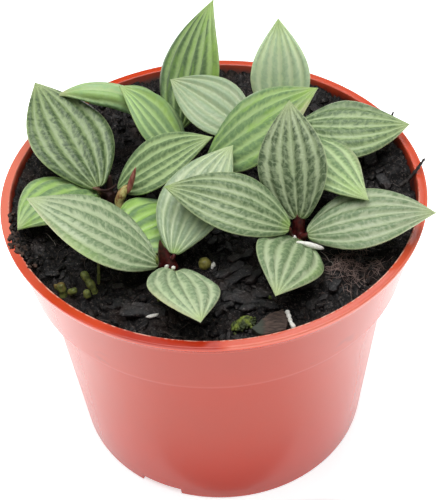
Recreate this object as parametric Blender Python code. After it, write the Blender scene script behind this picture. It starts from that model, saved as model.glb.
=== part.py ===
"""A peperomia with striped leaves in a round plastic nursery pot.

Metres, with +Z up. The origin is the middle of the pot's foot, on the surface that it stands on.
The front of the plant faces -Y.
"""
import math
import random
from collections import namedtuple

import bmesh
import bpy
from mathutils import Vector
from mathutils.geometry import delaunay_2d_cdt

# Driving dimensions in metres
GAP = 0.0003
POT_HEIGHT = 0.088
RIM_RADIUS = 0.060
COLLAR_HEIGHT = 0.0222
COLLAR_TOP_RADIUS = 0.0586
COLLAR_FOOT_RADIUS = 0.0550
BODY_TOP_RADIUS = 0.0514
BASE_RADIUS = 0.0454
WALL = 0.0012
LIP_HEIGHT = 0.0020
LIP_INNER_RADIUS = 0.0574
FLOOR_UNDERSIDE = 0.0022
FLOOR_TOP = 0.0036
FOOT_RING_WIDTH = 0.0030
FOOT_RING_SLOPE = 0.0006
LIP_BEVEL = 0.0008
FOOT_BEVEL = 0.0008
FLOOR_FILLET = 0.0010
POT_SIDES = 48

DRAIN_HOLES = 6
DRAIN_HOLE_RADIUS = 0.0040
DRAIN_CIRCLE_RADIUS = 0.030
FOOT_VENTS = 3
FIRST_VENT_HEADING = 242.0
VENT_WIDTH = 0.0125
VENT_HEIGHT = 0.0018
CUTTER_MARGIN = 0.0015

SOIL_LEVEL = 0.082
SOIL_GRID = 0.0064
STEM_DEPTH = 0.010

LEAF_THICKNESS = 0.0010
MARGIN_THICKNESS = 0.0007
RIB_HEIGHT = 0.00035
PETIOLE_RADIUS = 0.0009
STRAIGHT_END = 0.0006


def remove_objects():
    for old in list(bpy.data.objects):
        bpy.data.objects.remove(old, do_unlink=True)


def make_material(name, colour, roughness):
    """A plain Principled material; colour is linear red, green, blue."""
    material = bpy.data.materials.new(name)
    material.use_nodes = True
    shader = material.node_tree.nodes["Principled BSDF"]
    shader.inputs["Base Color"].default_value = (*colour, 1.0)
    shader.inputs["Roughness"].default_value = roughness
    shader.inputs["Metallic"].default_value = 0.0
    return material


def add_object(name, mesh_data, material=None):
    """Turn a bmesh into an object with outward faces."""
    bmesh.ops.recalc_face_normals(mesh_data, faces=mesh_data.faces[:])
    mesh = bpy.data.meshes.new(name)
    mesh_data.to_mesh(mesh)
    mesh_data.free()
    piece = bpy.data.objects.new(name, mesh)
    bpy.context.scene.collection.objects.link(piece)
    if material is not None:
        mesh.materials.append(material)
    return piece


def apply_boolean(piece, tools, operation):
    """Cut the tools out of a piece, or join them to it, and remove them."""
    group = bpy.data.collections.new("tools")
    bpy.context.scene.collection.children.link(group)
    for tool in tools:
        group.objects.link(tool)
    change = piece.modifiers.new("change", "BOOLEAN")
    change.operation = operation
    change.operand_type = "COLLECTION"
    change.collection = group
    change.solver = "EXACT"
    graph = bpy.context.evaluated_depsgraph_get()
    changed = bpy.data.meshes.new_from_object(piece.evaluated_get(graph))
    piece.modifiers.clear()
    piece.data = changed
    for tool in tools:
        bpy.data.objects.remove(tool, do_unlink=True)
    bpy.data.collections.remove(group)


def bridge(mesh_data, row_a, row_b, closed=True, flat=False):
    """Faces between two rows of as many points: triangles, or quads where those are flat."""
    count = len(row_a)
    spans = count if closed else count - 1
    for i in range(spans):
        j = (i + 1) % count
        if flat:
            mesh_data.faces.new((row_a[i], row_a[j], row_b[j], row_b[i]))
        else:
            mesh_data.faces.new((row_a[i], row_a[j], row_b[j]))
            mesh_data.faces.new((row_a[i], row_b[j], row_b[i]))


def ring_of_points(mesh_data, radius, height, sides, centre=(0.0, 0.0)):
    points = []
    for i in range(sides):
        angle = 2.0 * math.pi * i / sides
        x = centre[0] + radius * math.cos(angle)
        y = centre[1] + radius * math.sin(angle)
        points.append(mesh_data.verts.new((x, y, height)))
    return points


def add_cylinder(name, x, y, radius, low, high, sides):
    """An upright cylinder, used as a cutter."""
    mesh_data = bmesh.new()
    bottom = ring_of_points(mesh_data, radius, low, sides, (x, y))
    top = ring_of_points(mesh_data, radius, high, sides, (x, y))
    bridge(mesh_data, bottom, top, flat=True)
    mesh_data.faces.new(bottom)
    mesh_data.faces.new(top)
    return add_object(name, mesh_data)


# Pot: one moulding of thin plastic, with a rolled lip over a wide collar


def collar_foot_height():
    return POT_HEIGHT - COLLAR_HEIGHT


def pot_profile():
    """Radius and height along the pot's section, from its underside round to its floor."""
    collar_foot = collar_foot_height()
    lip_foot = POT_HEIGHT - LIP_HEIGHT
    ring_inside = BASE_RADIUS - FOOT_RING_WIDTH
    outside = [
        (ring_inside - FOOT_RING_SLOPE, FLOOR_UNDERSIDE),
        (ring_inside, 0.0),
        (BASE_RADIUS - FOOT_BEVEL, 0.0),
        (BASE_RADIUS, FOOT_BEVEL),
        (BODY_TOP_RADIUS, collar_foot),
        (COLLAR_FOOT_RADIUS, collar_foot),
        (COLLAR_TOP_RADIUS, lip_foot),
    ]
    lip = [
        (RIM_RADIUS, lip_foot),
        (RIM_RADIUS, POT_HEIGHT - LIP_BEVEL),
        (RIM_RADIUS - LIP_BEVEL, POT_HEIGHT),
        (LIP_INNER_RADIUS + LIP_BEVEL, POT_HEIGHT),
    ]
    return outside + lip + inner_wall()


def inner_wall():
    """Radius and height down the inside, from the lip to the floor."""
    collar_foot = collar_foot_height()
    return [
        (LIP_INNER_RADIUS, POT_HEIGHT - LIP_BEVEL),
        (COLLAR_FOOT_RADIUS - WALL, collar_foot + WALL),
        (BODY_TOP_RADIUS - WALL, collar_foot + WALL),
        (BASE_RADIUS - WALL, FLOOR_TOP + FLOOR_FILLET),
        (BASE_RADIUS - WALL - FLOOR_FILLET, FLOOR_TOP),
    ]


def inner_radius(height):
    """The pot's inside radius at a height above its floor."""
    inside = inner_wall()
    inside.reverse()
    for (low_radius, low), (high_radius, high) in zip(inside, inside[1:]):
        if height <= high:
            share = max(0.0, (height - low) / (high - low))
            return low_radius + share * (high_radius - low_radius)
    return inside[-1][0]


def build_pot():
    plastic = make_material("terracotta plastic", (0.60, 0.13, 0.08), 0.38)
    mesh_data = bmesh.new()
    profile = pot_profile()
    rings = [ring_of_points(mesh_data, radius, height, POT_SIDES) for radius, height in profile]
    for lower, upper in zip(rings, rings[1:]):
        bridge(mesh_data, lower, upper, flat=True)
    mesh_data.faces.new(rings[0])
    mesh_data.faces.new(rings[-1])
    pot = add_object("pot", mesh_data, plastic)

    cutters = []
    for i in range(DRAIN_HOLES):
        angle = 2.0 * math.pi * (i + 0.5) / DRAIN_HOLES
        x = DRAIN_CIRCLE_RADIUS * math.cos(angle)
        y = DRAIN_CIRCLE_RADIUS * math.sin(angle)
        low = FLOOR_UNDERSIDE - CUTTER_MARGIN
        high = FLOOR_TOP + CUTTER_MARGIN
        cutters.append(add_cylinder("drain", x, y, DRAIN_HOLE_RADIUS, low, high, 12))
    for i in range(FOOT_VENTS):
        cutters.append(vent_cutter(math.radians(FIRST_VENT_HEADING + 360.0 * i / FOOT_VENTS)))
    apply_boolean(pot, cutters, "DIFFERENCE")
    pot.data.shade_smooth()
    pot.data.set_sharp_from_angle(angle=math.radians(40.0))
    return pot


def vent_cutter(angle):
    """A block that opens the foot ring under the floor, in one direction."""
    outward = Vector((math.cos(angle), math.sin(angle), 0.0))
    sideways = Vector((-math.sin(angle), math.cos(angle), 0.0))
    near = BASE_RADIUS - FOOT_RING_WIDTH - CUTTER_MARGIN
    far = BASE_RADIUS + CUTTER_MARGIN
    mesh_data = bmesh.new()
    rings = []
    for height in (-CUTTER_MARGIN, VENT_HEIGHT):
        corners = []
        for reach, side in ((near, -0.5), (far, -0.5), (far, 0.5), (near, 0.5)):
            place = outward * reach + sideways * (side * VENT_WIDTH)
            corners.append(mesh_data.verts.new((place.x, place.y, height)))
        rings.append(corners)
    bridge(mesh_data, rings[0], rings[1], flat=True)
    mesh_data.faces.new(rings[0])
    mesh_data.faces.new(rings[1])
    return add_object("vent", mesh_data)


# Shoots: each has a short stout stem, which stands in a hole in the soil, and a petiole a leaf

Shoot = namedtuple("Shoot", "name foot node stem_radius")
SHOOTS = [
    Shoot("shoot_front", (-0.0133, -0.0258), (-0.0131, -0.0264, 0.0850), 0.0018),
    Shoot("shoot_right", (0.0225, -0.0192), (0.0224, -0.0198, 0.0864), 0.0019),
    Shoot("shoot_left", (-0.0298, 0.0028), (-0.0300, 0.0026, 0.0842), 0.0017),
    Shoot("shoot_back_left", (-0.0124, 0.0276), (-0.0124, 0.0278, 0.0846), 0.0016),
    Shoot("shoot_middle", (-0.0046, 0.0062), (-0.0047, 0.0064, 0.0858), 0.0016),
    Shoot("shoot_back_right", (0.0206, 0.0184), (0.0207, 0.0186, 0.0868), 0.0017),
]

# Leaves: where each blade starts, its heading (0 is +X, 90 is the back), the pitch at its base,
# how far the pitch and heading change towards its tip, its roll, and its size. Fold raises the
# two halves above the midrib and dome rounds them down again; angles are in degrees.

Leaf = namedtuple("Leaf", "name shoot base heading pitch bend sweep roll length width fold dome")
LEAVES = [
    Leaf("leaf_front_left", "shoot_front", (-0.0166, -0.0280, 0.0866),
         168, 44.5, -28.5, -10.5, -5, 0.0385, 0.0237, 7.5, 0.11),
    Leaf("leaf_front_back", "shoot_front", (-0.0113, -0.0275, 0.0889),
         59.5, 26, -13.5, -21, 2, 0.0366, 0.0201, 12, 0.11),
    Leaf("leaf_front_low", "shoot_front", (-0.0119, -0.0299, 0.0870),
         -75.5, 28, -21, 9, 15.5, 0.0309, 0.0191, 8.5, 0.10),
    Leaf("leaf_young_low", "shoot_middle", (-0.0086, -0.0056, 0.0843),
         -143, 12, -12.5, -18.5, 4.5, 0.0249, 0.0238, 8.5, 0.10),
    Leaf("leaf_right_left", "shoot_right", (0.0196, -0.0237, 0.0929),
         164.5, 32.5, -36.5, -16.5, 13, 0.0357, 0.0189, 13, 0.09),
    Leaf("leaf_right_upright", "shoot_right", (0.0224, -0.0184, 0.0916),
         92.5, 60, -26, -9, 19, 0.0319, 0.0195, 12.5, 0.09),
    Leaf("leaf_right_out", "shoot_right", (0.0247, -0.0223, 0.0888),
         -3, 23, -21.5, -11, -8.5, 0.0348, 0.0199, 7.5, 0.11),
    Leaf("leaf_right_low", "shoot_right", (0.0223, -0.0226, 0.0871),
         -106.5, 37.5, -43, -5, 11.5, 0.0305, 0.0189, 4, 0.12),
    Leaf("leaf_left_upright", "shoot_left", (-0.0319, 0.0008, 0.0880),
         121, 32, -19.5, 5, -6.5, 0.0394, 0.0247, 7.5, 0.12),
    Leaf("leaf_left_hooked", "shoot_left", (-0.0335, 0.0037, 0.0839),
         -136, 51.5, -80, 7, 0, 0.0312, 0.0229, 0, 0.15),
    Leaf("leaf_left_in", "shoot_left", (-0.0271, 0.0040, 0.0846),
         2.5, 39.5, -16, 0, -13, 0.0326, 0.0180, 13, 0.10),
    Leaf("leaf_middle_curled", "shoot_middle", (-0.0092, 0.0171, 0.0866),
         154, 58.5, -23.5, 14, 8.5, 0.0266, 0.0163, 11.5, 0.10),
    Leaf("leaf_back_arched", "shoot_back_left", (-0.0144, 0.0292, 0.0907),
         183.5, 72, -101, 8, -17.5, 0.0362, 0.0194, -23, 0.09),
    Leaf("leaf_back_tall", "shoot_back_left", (-0.0091, 0.0298, 0.0853),
         58.5, 55, -1.5, -36, 13.5, 0.0385, 0.0216, 3.5, 0.14),
    Leaf("leaf_middle_large", "shoot_middle", (-0.0015, 0.0067, 0.0909),
         0, 47.5, -18.5, 11.5, -14, 0.0404, 0.0235, 3.5, 0.14),
    Leaf("leaf_back_right_upright", "shoot_back_right", (0.0212, 0.0243, 0.0908),
         92, 75, -8, 0.5, 7.5, 0.0301, 0.0176, 12, 0.10),
    Leaf("leaf_back_right_out", "shoot_back_right", (0.0251, 0.0199, 0.0920),
         -6.5, 7.5, -9.5, 27.5, -14, 0.0332, 0.0208, 2, 0.13),
    Leaf("leaf_back_right_front", "shoot_back_right", (0.0261, 0.0131, 0.0930),
         -65.5, 24.5, -35, 34, -1.5, 0.0373, 0.0186, 4, 0.13),
    Leaf("leaf_back_right_left", "shoot_back_right", (0.0112, 0.0174, 0.0912),
         144.5, 33.5, -28, -10, 14.5, 0.0294, 0.0191, 16.5, 0.07),
]
YOUNG_LEAVES = {
    "leaf_young_low",
    "leaf_middle_curled",
    "leaf_back_tall",
    "leaf_middle_large",
    "leaf_back_right_front",
}

# The outline of a blade: half its width is width * s**RISE * (1 - s)**TAPER, scaled to fit
RISE = 0.88
TAPER = 1.14
WIDEST = RISE / (RISE + TAPER)
OUTLINE_SCALE = WIDEST ** RISE * (1.0 - WIDEST) ** TAPER
BLADE_START = 0.02
STATIONS = (BLADE_START, 0.10, 0.23, 0.38, 0.53, 0.68, 0.82, 0.94)
# Veins run at 0, 0.36 and 0.72 of the half width, and the blade is raised between them
HALF_COLUMNS = (0.18, 0.36, 0.54, 0.72, 0.87, 1.0)
RAISED_COLUMNS = (0.18, 0.54, 0.87)
COLUMNS = tuple(-u for u in reversed(HALF_COLUMNS)) + (0.0,) + HALF_COLUMNS
MIDRIB_STEPS = 100

Frame = namedtuple("Frame", "point forward side normal")


def blade_frame(leaf, s):
    """The midrib's point at a share s of the blade's length, with the directions there."""
    point = Vector(leaf.base)
    step = s / MIDRIB_STEPS
    for i in range(MIDRIB_STEPS):
        point += midrib_direction(leaf, (i + 0.5) * step) * (leaf.length * step)
    forward = midrib_direction(leaf, s)
    heading = math.radians(leaf.heading + leaf.sweep * (s - 0.5))
    level_side = Vector((math.sin(heading), -math.cos(heading), 0.0))
    level_normal = level_side.cross(forward)
    roll = math.radians(leaf.roll)
    side = level_side * math.cos(roll) + level_normal * math.sin(roll)
    normal = level_normal * math.cos(roll) - level_side * math.sin(roll)
    return Frame(point, forward, side, normal)


def midrib_direction(leaf, s):
    heading = math.radians(leaf.heading + leaf.sweep * (s - 0.5))
    pitch = math.radians(leaf.pitch + leaf.bend * s)
    return Vector((
        math.cos(heading) * math.cos(pitch),
        math.sin(heading) * math.cos(pitch),
        math.sin(pitch),
    ))


def half_width(leaf, s):
    return 0.5 * leaf.width * s ** RISE * (1.0 - s) ** TAPER / OUTLINE_SCALE


def blade_point(leaf, frame, s, u, above):
    """A point across the blade: u runs from -1 to 1, and above is the height over its middle."""
    reach = half_width(leaf, s) * u
    fold = math.radians(leaf.fold)
    rise = abs(reach) * math.sin(fold) - leaf.dome * half_width(leaf, s) * u * u
    if abs(u) in RAISED_COLUMNS:
        rise += RIB_HEIGHT * min(1.0, half_width(leaf, s) / (0.3 * leaf.width))
    return frame.point + frame.side * (reach * math.cos(fold)) + frame.normal * (rise + above)


def build_leaf(leaf, material):
    mesh_data = bmesh.new()
    top_rows = []
    bottom_rows = []
    for s in STATIONS:
        frame = blade_frame(leaf, s)
        top = []
        bottom = []
        for u in COLUMNS:
            half = 0.5 * (LEAF_THICKNESS + (MARGIN_THICKNESS - LEAF_THICKNESS) * abs(u))
            top.append(mesh_data.verts.new(blade_point(leaf, frame, s, u, half)))
            bottom.append(mesh_data.verts.new(blade_point(leaf, frame, s, u, -half)))
        top_rows.append(top)
        bottom_rows.append(bottom)
    for rows in (top_rows, bottom_rows):
        for near, far in zip(rows, rows[1:]):
            bridge(mesh_data, near, far, closed=False)
    for edge in (0, -1):
        upper = [row[edge] for row in top_rows]
        lower = [row[edge] for row in bottom_rows]
        bridge(mesh_data, upper, lower, closed=False)
    bridge(mesh_data, top_rows[0], bottom_rows[0], closed=False)

    tip = blade_frame(leaf, 1.0)
    tip_top = mesh_data.verts.new(tip.point + tip.normal * (0.5 * MARGIN_THICKNESS))
    tip_bottom = mesh_data.verts.new(tip.point - tip.normal * (0.5 * MARGIN_THICKNESS))
    for row, end in ((top_rows[-1], tip_top), (bottom_rows[-1], tip_bottom)):
        for a, b in zip(row, row[1:]):
            mesh_data.faces.new((a, b, end))
    for edge in (0, -1):
        upper = top_rows[-1][edge]
        lower = bottom_rows[-1][edge]
        mesh_data.faces.new((upper, tip_top, tip_bottom))
        mesh_data.faces.new((upper, tip_bottom, lower))
    return add_object(leaf.name, mesh_data, material)


def build_leaves():
    grown = make_material("striped leaf", (0.22, 0.33, 0.18), 0.42)
    young = make_material("young striped leaf", (0.26, 0.45, 0.12), 0.40)
    for leaf in LEAVES:
        build_leaf(leaf, young if leaf.name in YOUNG_LEAVES else grown)


def add_tube(name, points, radii, sides, material=None):
    """A round bar along points, with flat ends."""
    mesh_data = bmesh.new()
    rings = []
    reference = Vector((0.37, 0.93, 0.0))
    for i, point in enumerate(points):
        before = points[max(0, i - 1)]
        after = points[min(len(points) - 1, i + 1)]
        along = (after - before).normalized()
        across = (reference - along * reference.dot(along)).normalized()
        other = along.cross(across)
        ring = []
        for k in range(sides):
            angle = 2.0 * math.pi * (k + 0.5) / sides
            offset = across * math.cos(angle) + other * math.sin(angle)
            ring.append(mesh_data.verts.new(point + offset * radii[i]))
        rings.append(ring)
    for near, far in zip(rings, rings[1:]):
        bridge(mesh_data, near, far)
    mesh_data.faces.new(rings[0])
    mesh_data.faces.new(rings[-1])
    return add_object(name, mesh_data, material)


def bezier(start, start_handle, end_handle, end, count):
    points = []
    for i in range(count):
        t = i / (count - 1)
        r = 1.0 - t
        points.append(
            start * (r ** 3)
            + start_handle * (3.0 * r * r * t)
            + end_handle * (3.0 * r * t * t)
            + end * (t ** 3)
        )
    return points


def petiole_path(shoot, leaf, count):
    """From inside the shoot's stem to a gap short of the blade, in line with its midrib."""
    node = Vector(shoot.node)
    blade = blade_frame(leaf, BLADE_START)
    end = blade.point - blade.forward * GAP
    straight = end - blade.forward * STRAIGHT_END
    reach = (end - node).length
    outward = Vector((end.x - node.x, end.y - node.y, 0.0))
    if outward.length > 0.0:
        outward.normalize()
    start = node - Vector((0.0, 0.0, 0.0012)) + outward * 0.0003
    start_handle = start + Vector((0.0, 0.0, 0.42 * reach)) + outward * (0.10 * reach)
    end_handle = straight - blade.forward * (0.35 * reach)
    return bezier(start, start_handle, end_handle, straight, count - 1) + [end]


def build_shoot(shoot, material):
    """One stem fused with its petioles."""
    foot = Vector((shoot.foot[0], shoot.foot[1], SOIL_LEVEL - STEM_DEPTH + GAP))
    node = Vector(shoot.node)
    top = node + Vector((0.0, 0.0, 0.0008))
    collar = Vector((shoot.foot[0], shoot.foot[1], SOIL_LEVEL - 0.001))
    radius = shoot.stem_radius
    stem = add_tube(
        shoot.name,
        [foot, collar, node - Vector((0.0, 0.0, 0.0012)), top],
        [radius, radius, radius * 1.05, radius * 0.6],
        8,
        material,
    )
    petioles = []
    for leaf in LEAVES:
        if leaf.shoot == shoot.name:
            path = petiole_path(shoot, leaf, 6)
            thick = PETIOLE_RADIUS * 1.25
            radii = [thick, thick, PETIOLE_RADIUS, PETIOLE_RADIUS, PETIOLE_RADIUS, PETIOLE_RADIUS]
            petioles.append(add_tube("petiole", path, radii, 6))
    if shoot.name == "shoot_front":
        petioles.append(add_tube("bud", FRONT_BUD_PATH, FRONT_BUD_RADII, 6))
    apply_boolean(stem, petioles, "UNION")
    stem.data.shade_smooth()
    return stem


# A pointed bud stands beside the front shoot's petioles
FRONT_BUD_PATH = [
    Vector((-0.0136, -0.0258, 0.0840)),
    Vector((-0.0144, -0.0256, 0.0872)),
    Vector((-0.0148, -0.0260, 0.0905)),
    Vector((-0.0147, -0.0266, 0.0938)),
]
FRONT_BUD_RADII = [0.0010, 0.0012, 0.0009, 0.0003]

# The young shoot beside the left one: an olive stem with a rolled red leaf at its end
YOUNG_SHOOT_PATH = [
    Vector((-0.0272, -0.0032, SOIL_LEVEL - STEM_DEPTH + GAP)),
    Vector((-0.0270, -0.0030, 0.0846)),
    Vector((-0.0256, -0.0021, 0.0880)),
    Vector((-0.0243, -0.0011, 0.0902)),
    Vector((-0.0227, -0.0005, 0.0931)),
    Vector((-0.0212, -0.0001, 0.0963)),
]
YOUNG_SHOOT_RADII = [0.0010, 0.0012, 0.0014, 0.0009, 0.0008, 0.0003]


def build_shoots():
    maroon = make_material("maroon stem", (0.16, 0.025, 0.03), 0.45)
    for shoot in SHOOTS:
        build_shoot(shoot, maroon)
    olive = make_material("young shoot", (0.30, 0.14, 0.05), 0.45)
    add_tube("young_shoot", YOUNG_SHOOT_PATH, YOUNG_SHOOT_RADII, 8, olive)


# Soil: a bumpy block that fills the pot and lies a gap inside its walls

Mound = namedtuple("Mound", "x y spread height")
MOUNDS = [
    Mound(-0.052, -0.020, 0.010, 0.0038),
    Mound(0.004, 0.052, 0.013, 0.0034),
    Mound(-0.030, 0.044, 0.012, -0.0022),
    Mound(0.036, -0.030, 0.012, 0.0016),
    Mound(-0.010, -0.046, 0.016, 0.0010),
    Mound(0.006, -0.034, 0.007, -0.0014),
    Mound(0.050, 0.008, 0.010, 0.0014),
    Mound(-0.020, -0.014, 0.010, -0.0012),
    Mound(-0.032, 0.003, 0.006, -0.0014),
    Mound(-0.008, 0.012, 0.009, -0.0012),
]

# Small things lie on flat spots in the soil: x, y and the radius of the spot
FLAT_SPOTS = {
    "bead": (-0.0021, -0.0264, 0.0042),
    "perlite": (-0.0175, -0.0446, 0.0022),
    "sliver": (0.0284, -0.0222, 0.0045),
    "stick": (0.0186, -0.0468, 0.0036),
    "bark": (0.0120, -0.0482, 0.0050),
    "sprouts": (-0.0338, -0.0310, 0.0034),
    "far_sprouts": (-0.0414, -0.0322, 0.0034),
    "twig": (0.0535, 0.0010, 0.0022),
}
SPOT_BLEND = 0.0035


def bumpy_height(x, y):
    """The soil's height before the flat spots, in metres."""
    waves = (
        0.0008 * math.sin(210.0 * x + 1.3) * math.sin(180.0 * y + 0.4)
        + 0.0005 * math.sin(430.0 * x - 160.0 * y + 2.1)
        + 0.0004 * math.sin(250.0 * x + 520.0 * y + 0.7)
    )
    height = SOIL_LEVEL + waves
    for mound in MOUNDS:
        away = ((x - mound.x) ** 2 + (y - mound.y) ** 2) / mound.spread ** 2
        height += mound.height * math.exp(-away)
    return height


def soil_height(x, y):
    """The bumpy height, drawn to each flat spot's own level near that spot."""
    total = bumpy_height(x, y)
    weights = 1.0
    for spot_x, spot_y, radius in FLAT_SPOTS.values():
        away = (math.hypot(x - spot_x, y - spot_y) - radius) / SPOT_BLEND
        if away < 1.0:
            share = max(away, 0.00001)
            weight = ((1.0 - share) / share) ** 2
            total += weight * bumpy_height(spot_x, spot_y)
            weights += weight
    return total / weights


def spot_top(spot):
    """The height at which a piece lies on a flat spot, a gap above the soil."""
    x, y, _ = FLAT_SPOTS[spot]
    return bumpy_height(x, y) + GAP


def soil_surface_points():
    """A loose grid inside the pot's wall, then a few rings round each flat spot."""
    rng = random.Random(11)
    points = []
    rows = int(RIM_RADIUS / (SOIL_GRID * 0.87)) + 1
    limit = inner_radius(SOIL_LEVEL) - 0.0035
    for row in range(-rows, rows + 1):
        for column in range(-rows - 1, rows + 2):
            x = (column + 0.5 * (row % 2)) * SOIL_GRID + rng.uniform(-0.0011, 0.0011)
            y = row * SOIL_GRID * 0.87 + rng.uniform(-0.0011, 0.0011)
            near_spot = any(
                math.hypot(x - spot_x, y - spot_y) < radius + 0.0012
                for spot_x, spot_y, radius in FLAT_SPOTS.values()
            )
            if math.hypot(x, y) < limit and not near_spot:
                points.append(Vector((x, y)))
    for spot_x, spot_y, radius in FLAT_SPOTS.values():
        for i in range(6):
            angle = math.pi * i / 3.0
            x = spot_x + radius * math.cos(angle)
            y = spot_y + radius * math.sin(angle)
            if math.hypot(x, y) < limit:
                points.append(Vector((x, y)))
    return points


def build_soil():
    earth = make_material("potting mix", (0.02, 0.016, 0.013), 0.95)
    edge = []
    for i in range(POT_SIDES):
        angle = 2.0 * math.pi * i / POT_SIDES
        direction = Vector((math.cos(angle), math.sin(angle)))
        corner = direction * (inner_radius(SOIL_LEVEL) - GAP)
        for _ in range(4):
            corner = direction * (inner_radius(soil_height(*corner)) - GAP)
        edge.append(corner)
    outline = edge + soil_surface_points()
    border = [(i, (i + 1) % POT_SIDES) for i in range(POT_SIDES)]
    flat = delaunay_2d_cdt(outline, border, [], 1, 0.00001)

    mesh_data = bmesh.new()
    top = [mesh_data.verts.new((p.x, p.y, soil_height(p.x, p.y))) for p in flat[0]]
    for face in flat[2]:
        mesh_data.faces.new([top[i] for i in face])
    upper = top[:POT_SIDES]
    shelf = collar_foot_height()
    side = [
        (COLLAR_FOOT_RADIUS - WALL - GAP, shelf + WALL + GAP),
        (BODY_TOP_RADIUS - WALL - GAP, shelf + WALL + GAP),
        (BASE_RADIUS - WALL - GAP, FLOOR_TOP + FLOOR_FILLET + GAP),
        (BASE_RADIUS - WALL - FLOOR_FILLET - GAP, FLOOR_TOP + GAP),
    ]
    for radius, height in side:
        lower = ring_of_points(mesh_data, radius, height, POT_SIDES)
        bridge(mesh_data, upper, lower)
        upper = lower
    mesh_data.faces.new(upper)
    soil = add_object("soil", mesh_data, earth)

    holes = []
    places = [(shoot.foot, shoot.stem_radius) for shoot in SHOOTS]
    places.append(((YOUNG_SHOOT_PATH[0].x, YOUNG_SHOOT_PATH[0].y), YOUNG_SHOOT_RADII[1]))
    for (x, y), radius in places:
        low = SOIL_LEVEL - STEM_DEPTH
        holes.append(add_cylinder("hole", x, y, radius + 2.0 * GAP, low, SOIL_LEVEL + 0.004, 8))
    apply_boolean(soil, holes, "DIFFERENCE")
    return soil


# Small things that lie on the soil


def add_pebble(name, spot, offset, size, turn, seed, material, base_share=0.30):
    """A rounded grain of the given length, width and height, with a flat underside."""
    x = FLAT_SPOTS[spot][0] + offset[0]
    y = FLAT_SPOTS[spot][1] + offset[1]
    floor = spot_top(spot)
    rng = random.Random(seed)
    mesh_data = bmesh.new()
    bmesh.ops.create_icosphere(mesh_data, subdivisions=2, radius=0.5)
    angle = math.radians(turn)
    low = -0.5 + base_share
    for corner in mesh_data.verts:
        wobble = 1.0 + rng.uniform(-0.10, 0.10)
        along = corner.co.x * size[0] * wobble
        across = corner.co.y * size[1] * wobble
        up = (max(corner.co.z * wobble, low) - low) * size[2] / (0.5 - low)
        corner.co.x = x + along * math.cos(angle) - across * math.sin(angle)
        corner.co.y = y + along * math.sin(angle) + across * math.cos(angle)
        corner.co.z = floor + up
    return add_object(name, mesh_data, material)


def build_sprouts(name, spot, tips, material):
    """Stubby buds that rise from one low heel on the soil."""
    x, y, radius = FLAT_SPOTS[spot]
    floor = spot_top(spot)
    heel = add_tube(
        name,
        [Vector((x, y, floor)), Vector((x, y, floor + 0.0011))],
        [radius * 0.9, radius * 0.7],
        8,
        material,
    )
    buds = []
    for dx, dy, lean_x, lean_y, height, thick in tips:
        root = Vector((x + dx, y + dy, floor + 0.0006))
        tip = root + Vector((lean_x, lean_y, height))
        middle = root.lerp(tip, 0.55)
        buds.append(add_tube("bud", [root, middle, tip], [thick, thick * 1.15, thick * 0.5], 6))
    apply_boolean(heel, buds, "UNION")
    return heel


def build_twig(material):
    """A thin twig that leans over the pot's lip from its spot on the soil."""
    x, y, _ = FLAT_SPOTS["twig"]
    floor = spot_top("twig")
    path = [
        Vector((x - 0.0016, y - 0.0006, floor + 0.0010)),
        Vector((x + 0.0004, y + 0.0002, floor + 0.0024)),
        Vector((x + 0.0036, y + 0.0014, 0.0892)),
        Vector((x + 0.0058, y + 0.0022, 0.0918)),
    ]
    return add_tube("twig", path, [0.0007, 0.0006, 0.0005, 0.0003], 6, material)


def build_small_things():
    resin = make_material("fertiliser bead", (0.28, 0.24, 0.05), 0.35)
    white = make_material("perlite", (0.75, 0.73, 0.68), 0.80)
    bark = make_material("bark", (0.08, 0.055, 0.045), 0.90)
    olive = make_material("sprout", (0.22, 0.26, 0.06), 0.60)
    wood = make_material("twig", (0.05, 0.035, 0.03), 0.85)

    add_pebble("fertiliser_bead", "bead", (-0.0011, 0.0), (0.0036, 0.0035, 0.0031), 0.0, 3, resin, 0.20)
    add_pebble("perlite_by_bead", "bead", (0.0021, 0.0), (0.0020, 0.0018, 0.0016), 20.0, 4, white)
    add_pebble("perlite_front", "perlite", (0.0, 0.0), (0.0032, 0.0017, 0.0014), 12.0, 5, white)
    add_pebble("white_sliver", "sliver", (0.0, 0.0), (0.0078, 0.0022, 0.0013), -28.0, 6, white)
    add_pebble("white_stick", "stick", (0.0, 0.0), (0.0062, 0.0016, 0.0016), -77.0, 7, white)
    add_pebble("bark_chip", "bark", (0.0, 0.0), (0.0084, 0.0052, 0.0024), 14.0, 8, bark)

    # Each bud: its root beside the heel's middle, its lean, its height and its thickness
    build_sprouts("sprouts_left", "sprouts", [
        (-0.0016, 0.0018, -0.0008, 0.0010, 0.0038, 0.0011),
        (0.0004, 0.0000, 0.0002, -0.0004, 0.0034, 0.0012),
        (0.0016, 0.0014, 0.0010, 0.0014, 0.0062, 0.0007),
        (-0.0004, -0.0020, -0.0004, -0.0008, 0.0022, 0.0010),
    ], olive)
    build_sprouts("sprouts_far_left", "far_sprouts", [
        (-0.0016, 0.0010, -0.0012, 0.0008, 0.0026, 0.0011),
        (0.0010, 0.0012, 0.0004, 0.0006, 0.0030, 0.0010),
        (0.0014, -0.0012, 0.0014, -0.0008, 0.0022, 0.0011),
    ], olive)
    build_twig(wood)


def main():
    remove_objects()
    build_pot()
    build_soil()
    build_shoots()
    build_leaves()
    build_small_things()
    plant = bpy.data.objects.new("potted_peperomia", None)
    bpy.context.scene.collection.objects.link(plant)
    for piece in bpy.data.objects:
        if piece.type == "MESH":
            piece.parent = plant


main()
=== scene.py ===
"""The looks of a potted peperomia, built round its solid model.

Lengths are in millimetres until a mesh is made; the frame is the solid model's, in metres with
+Z up. The front of the plant faces -Y.
"""
import math
import random

import bmesh
import bpy
import numpy as np
from mathutils import Matrix, Vector, noise


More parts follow.
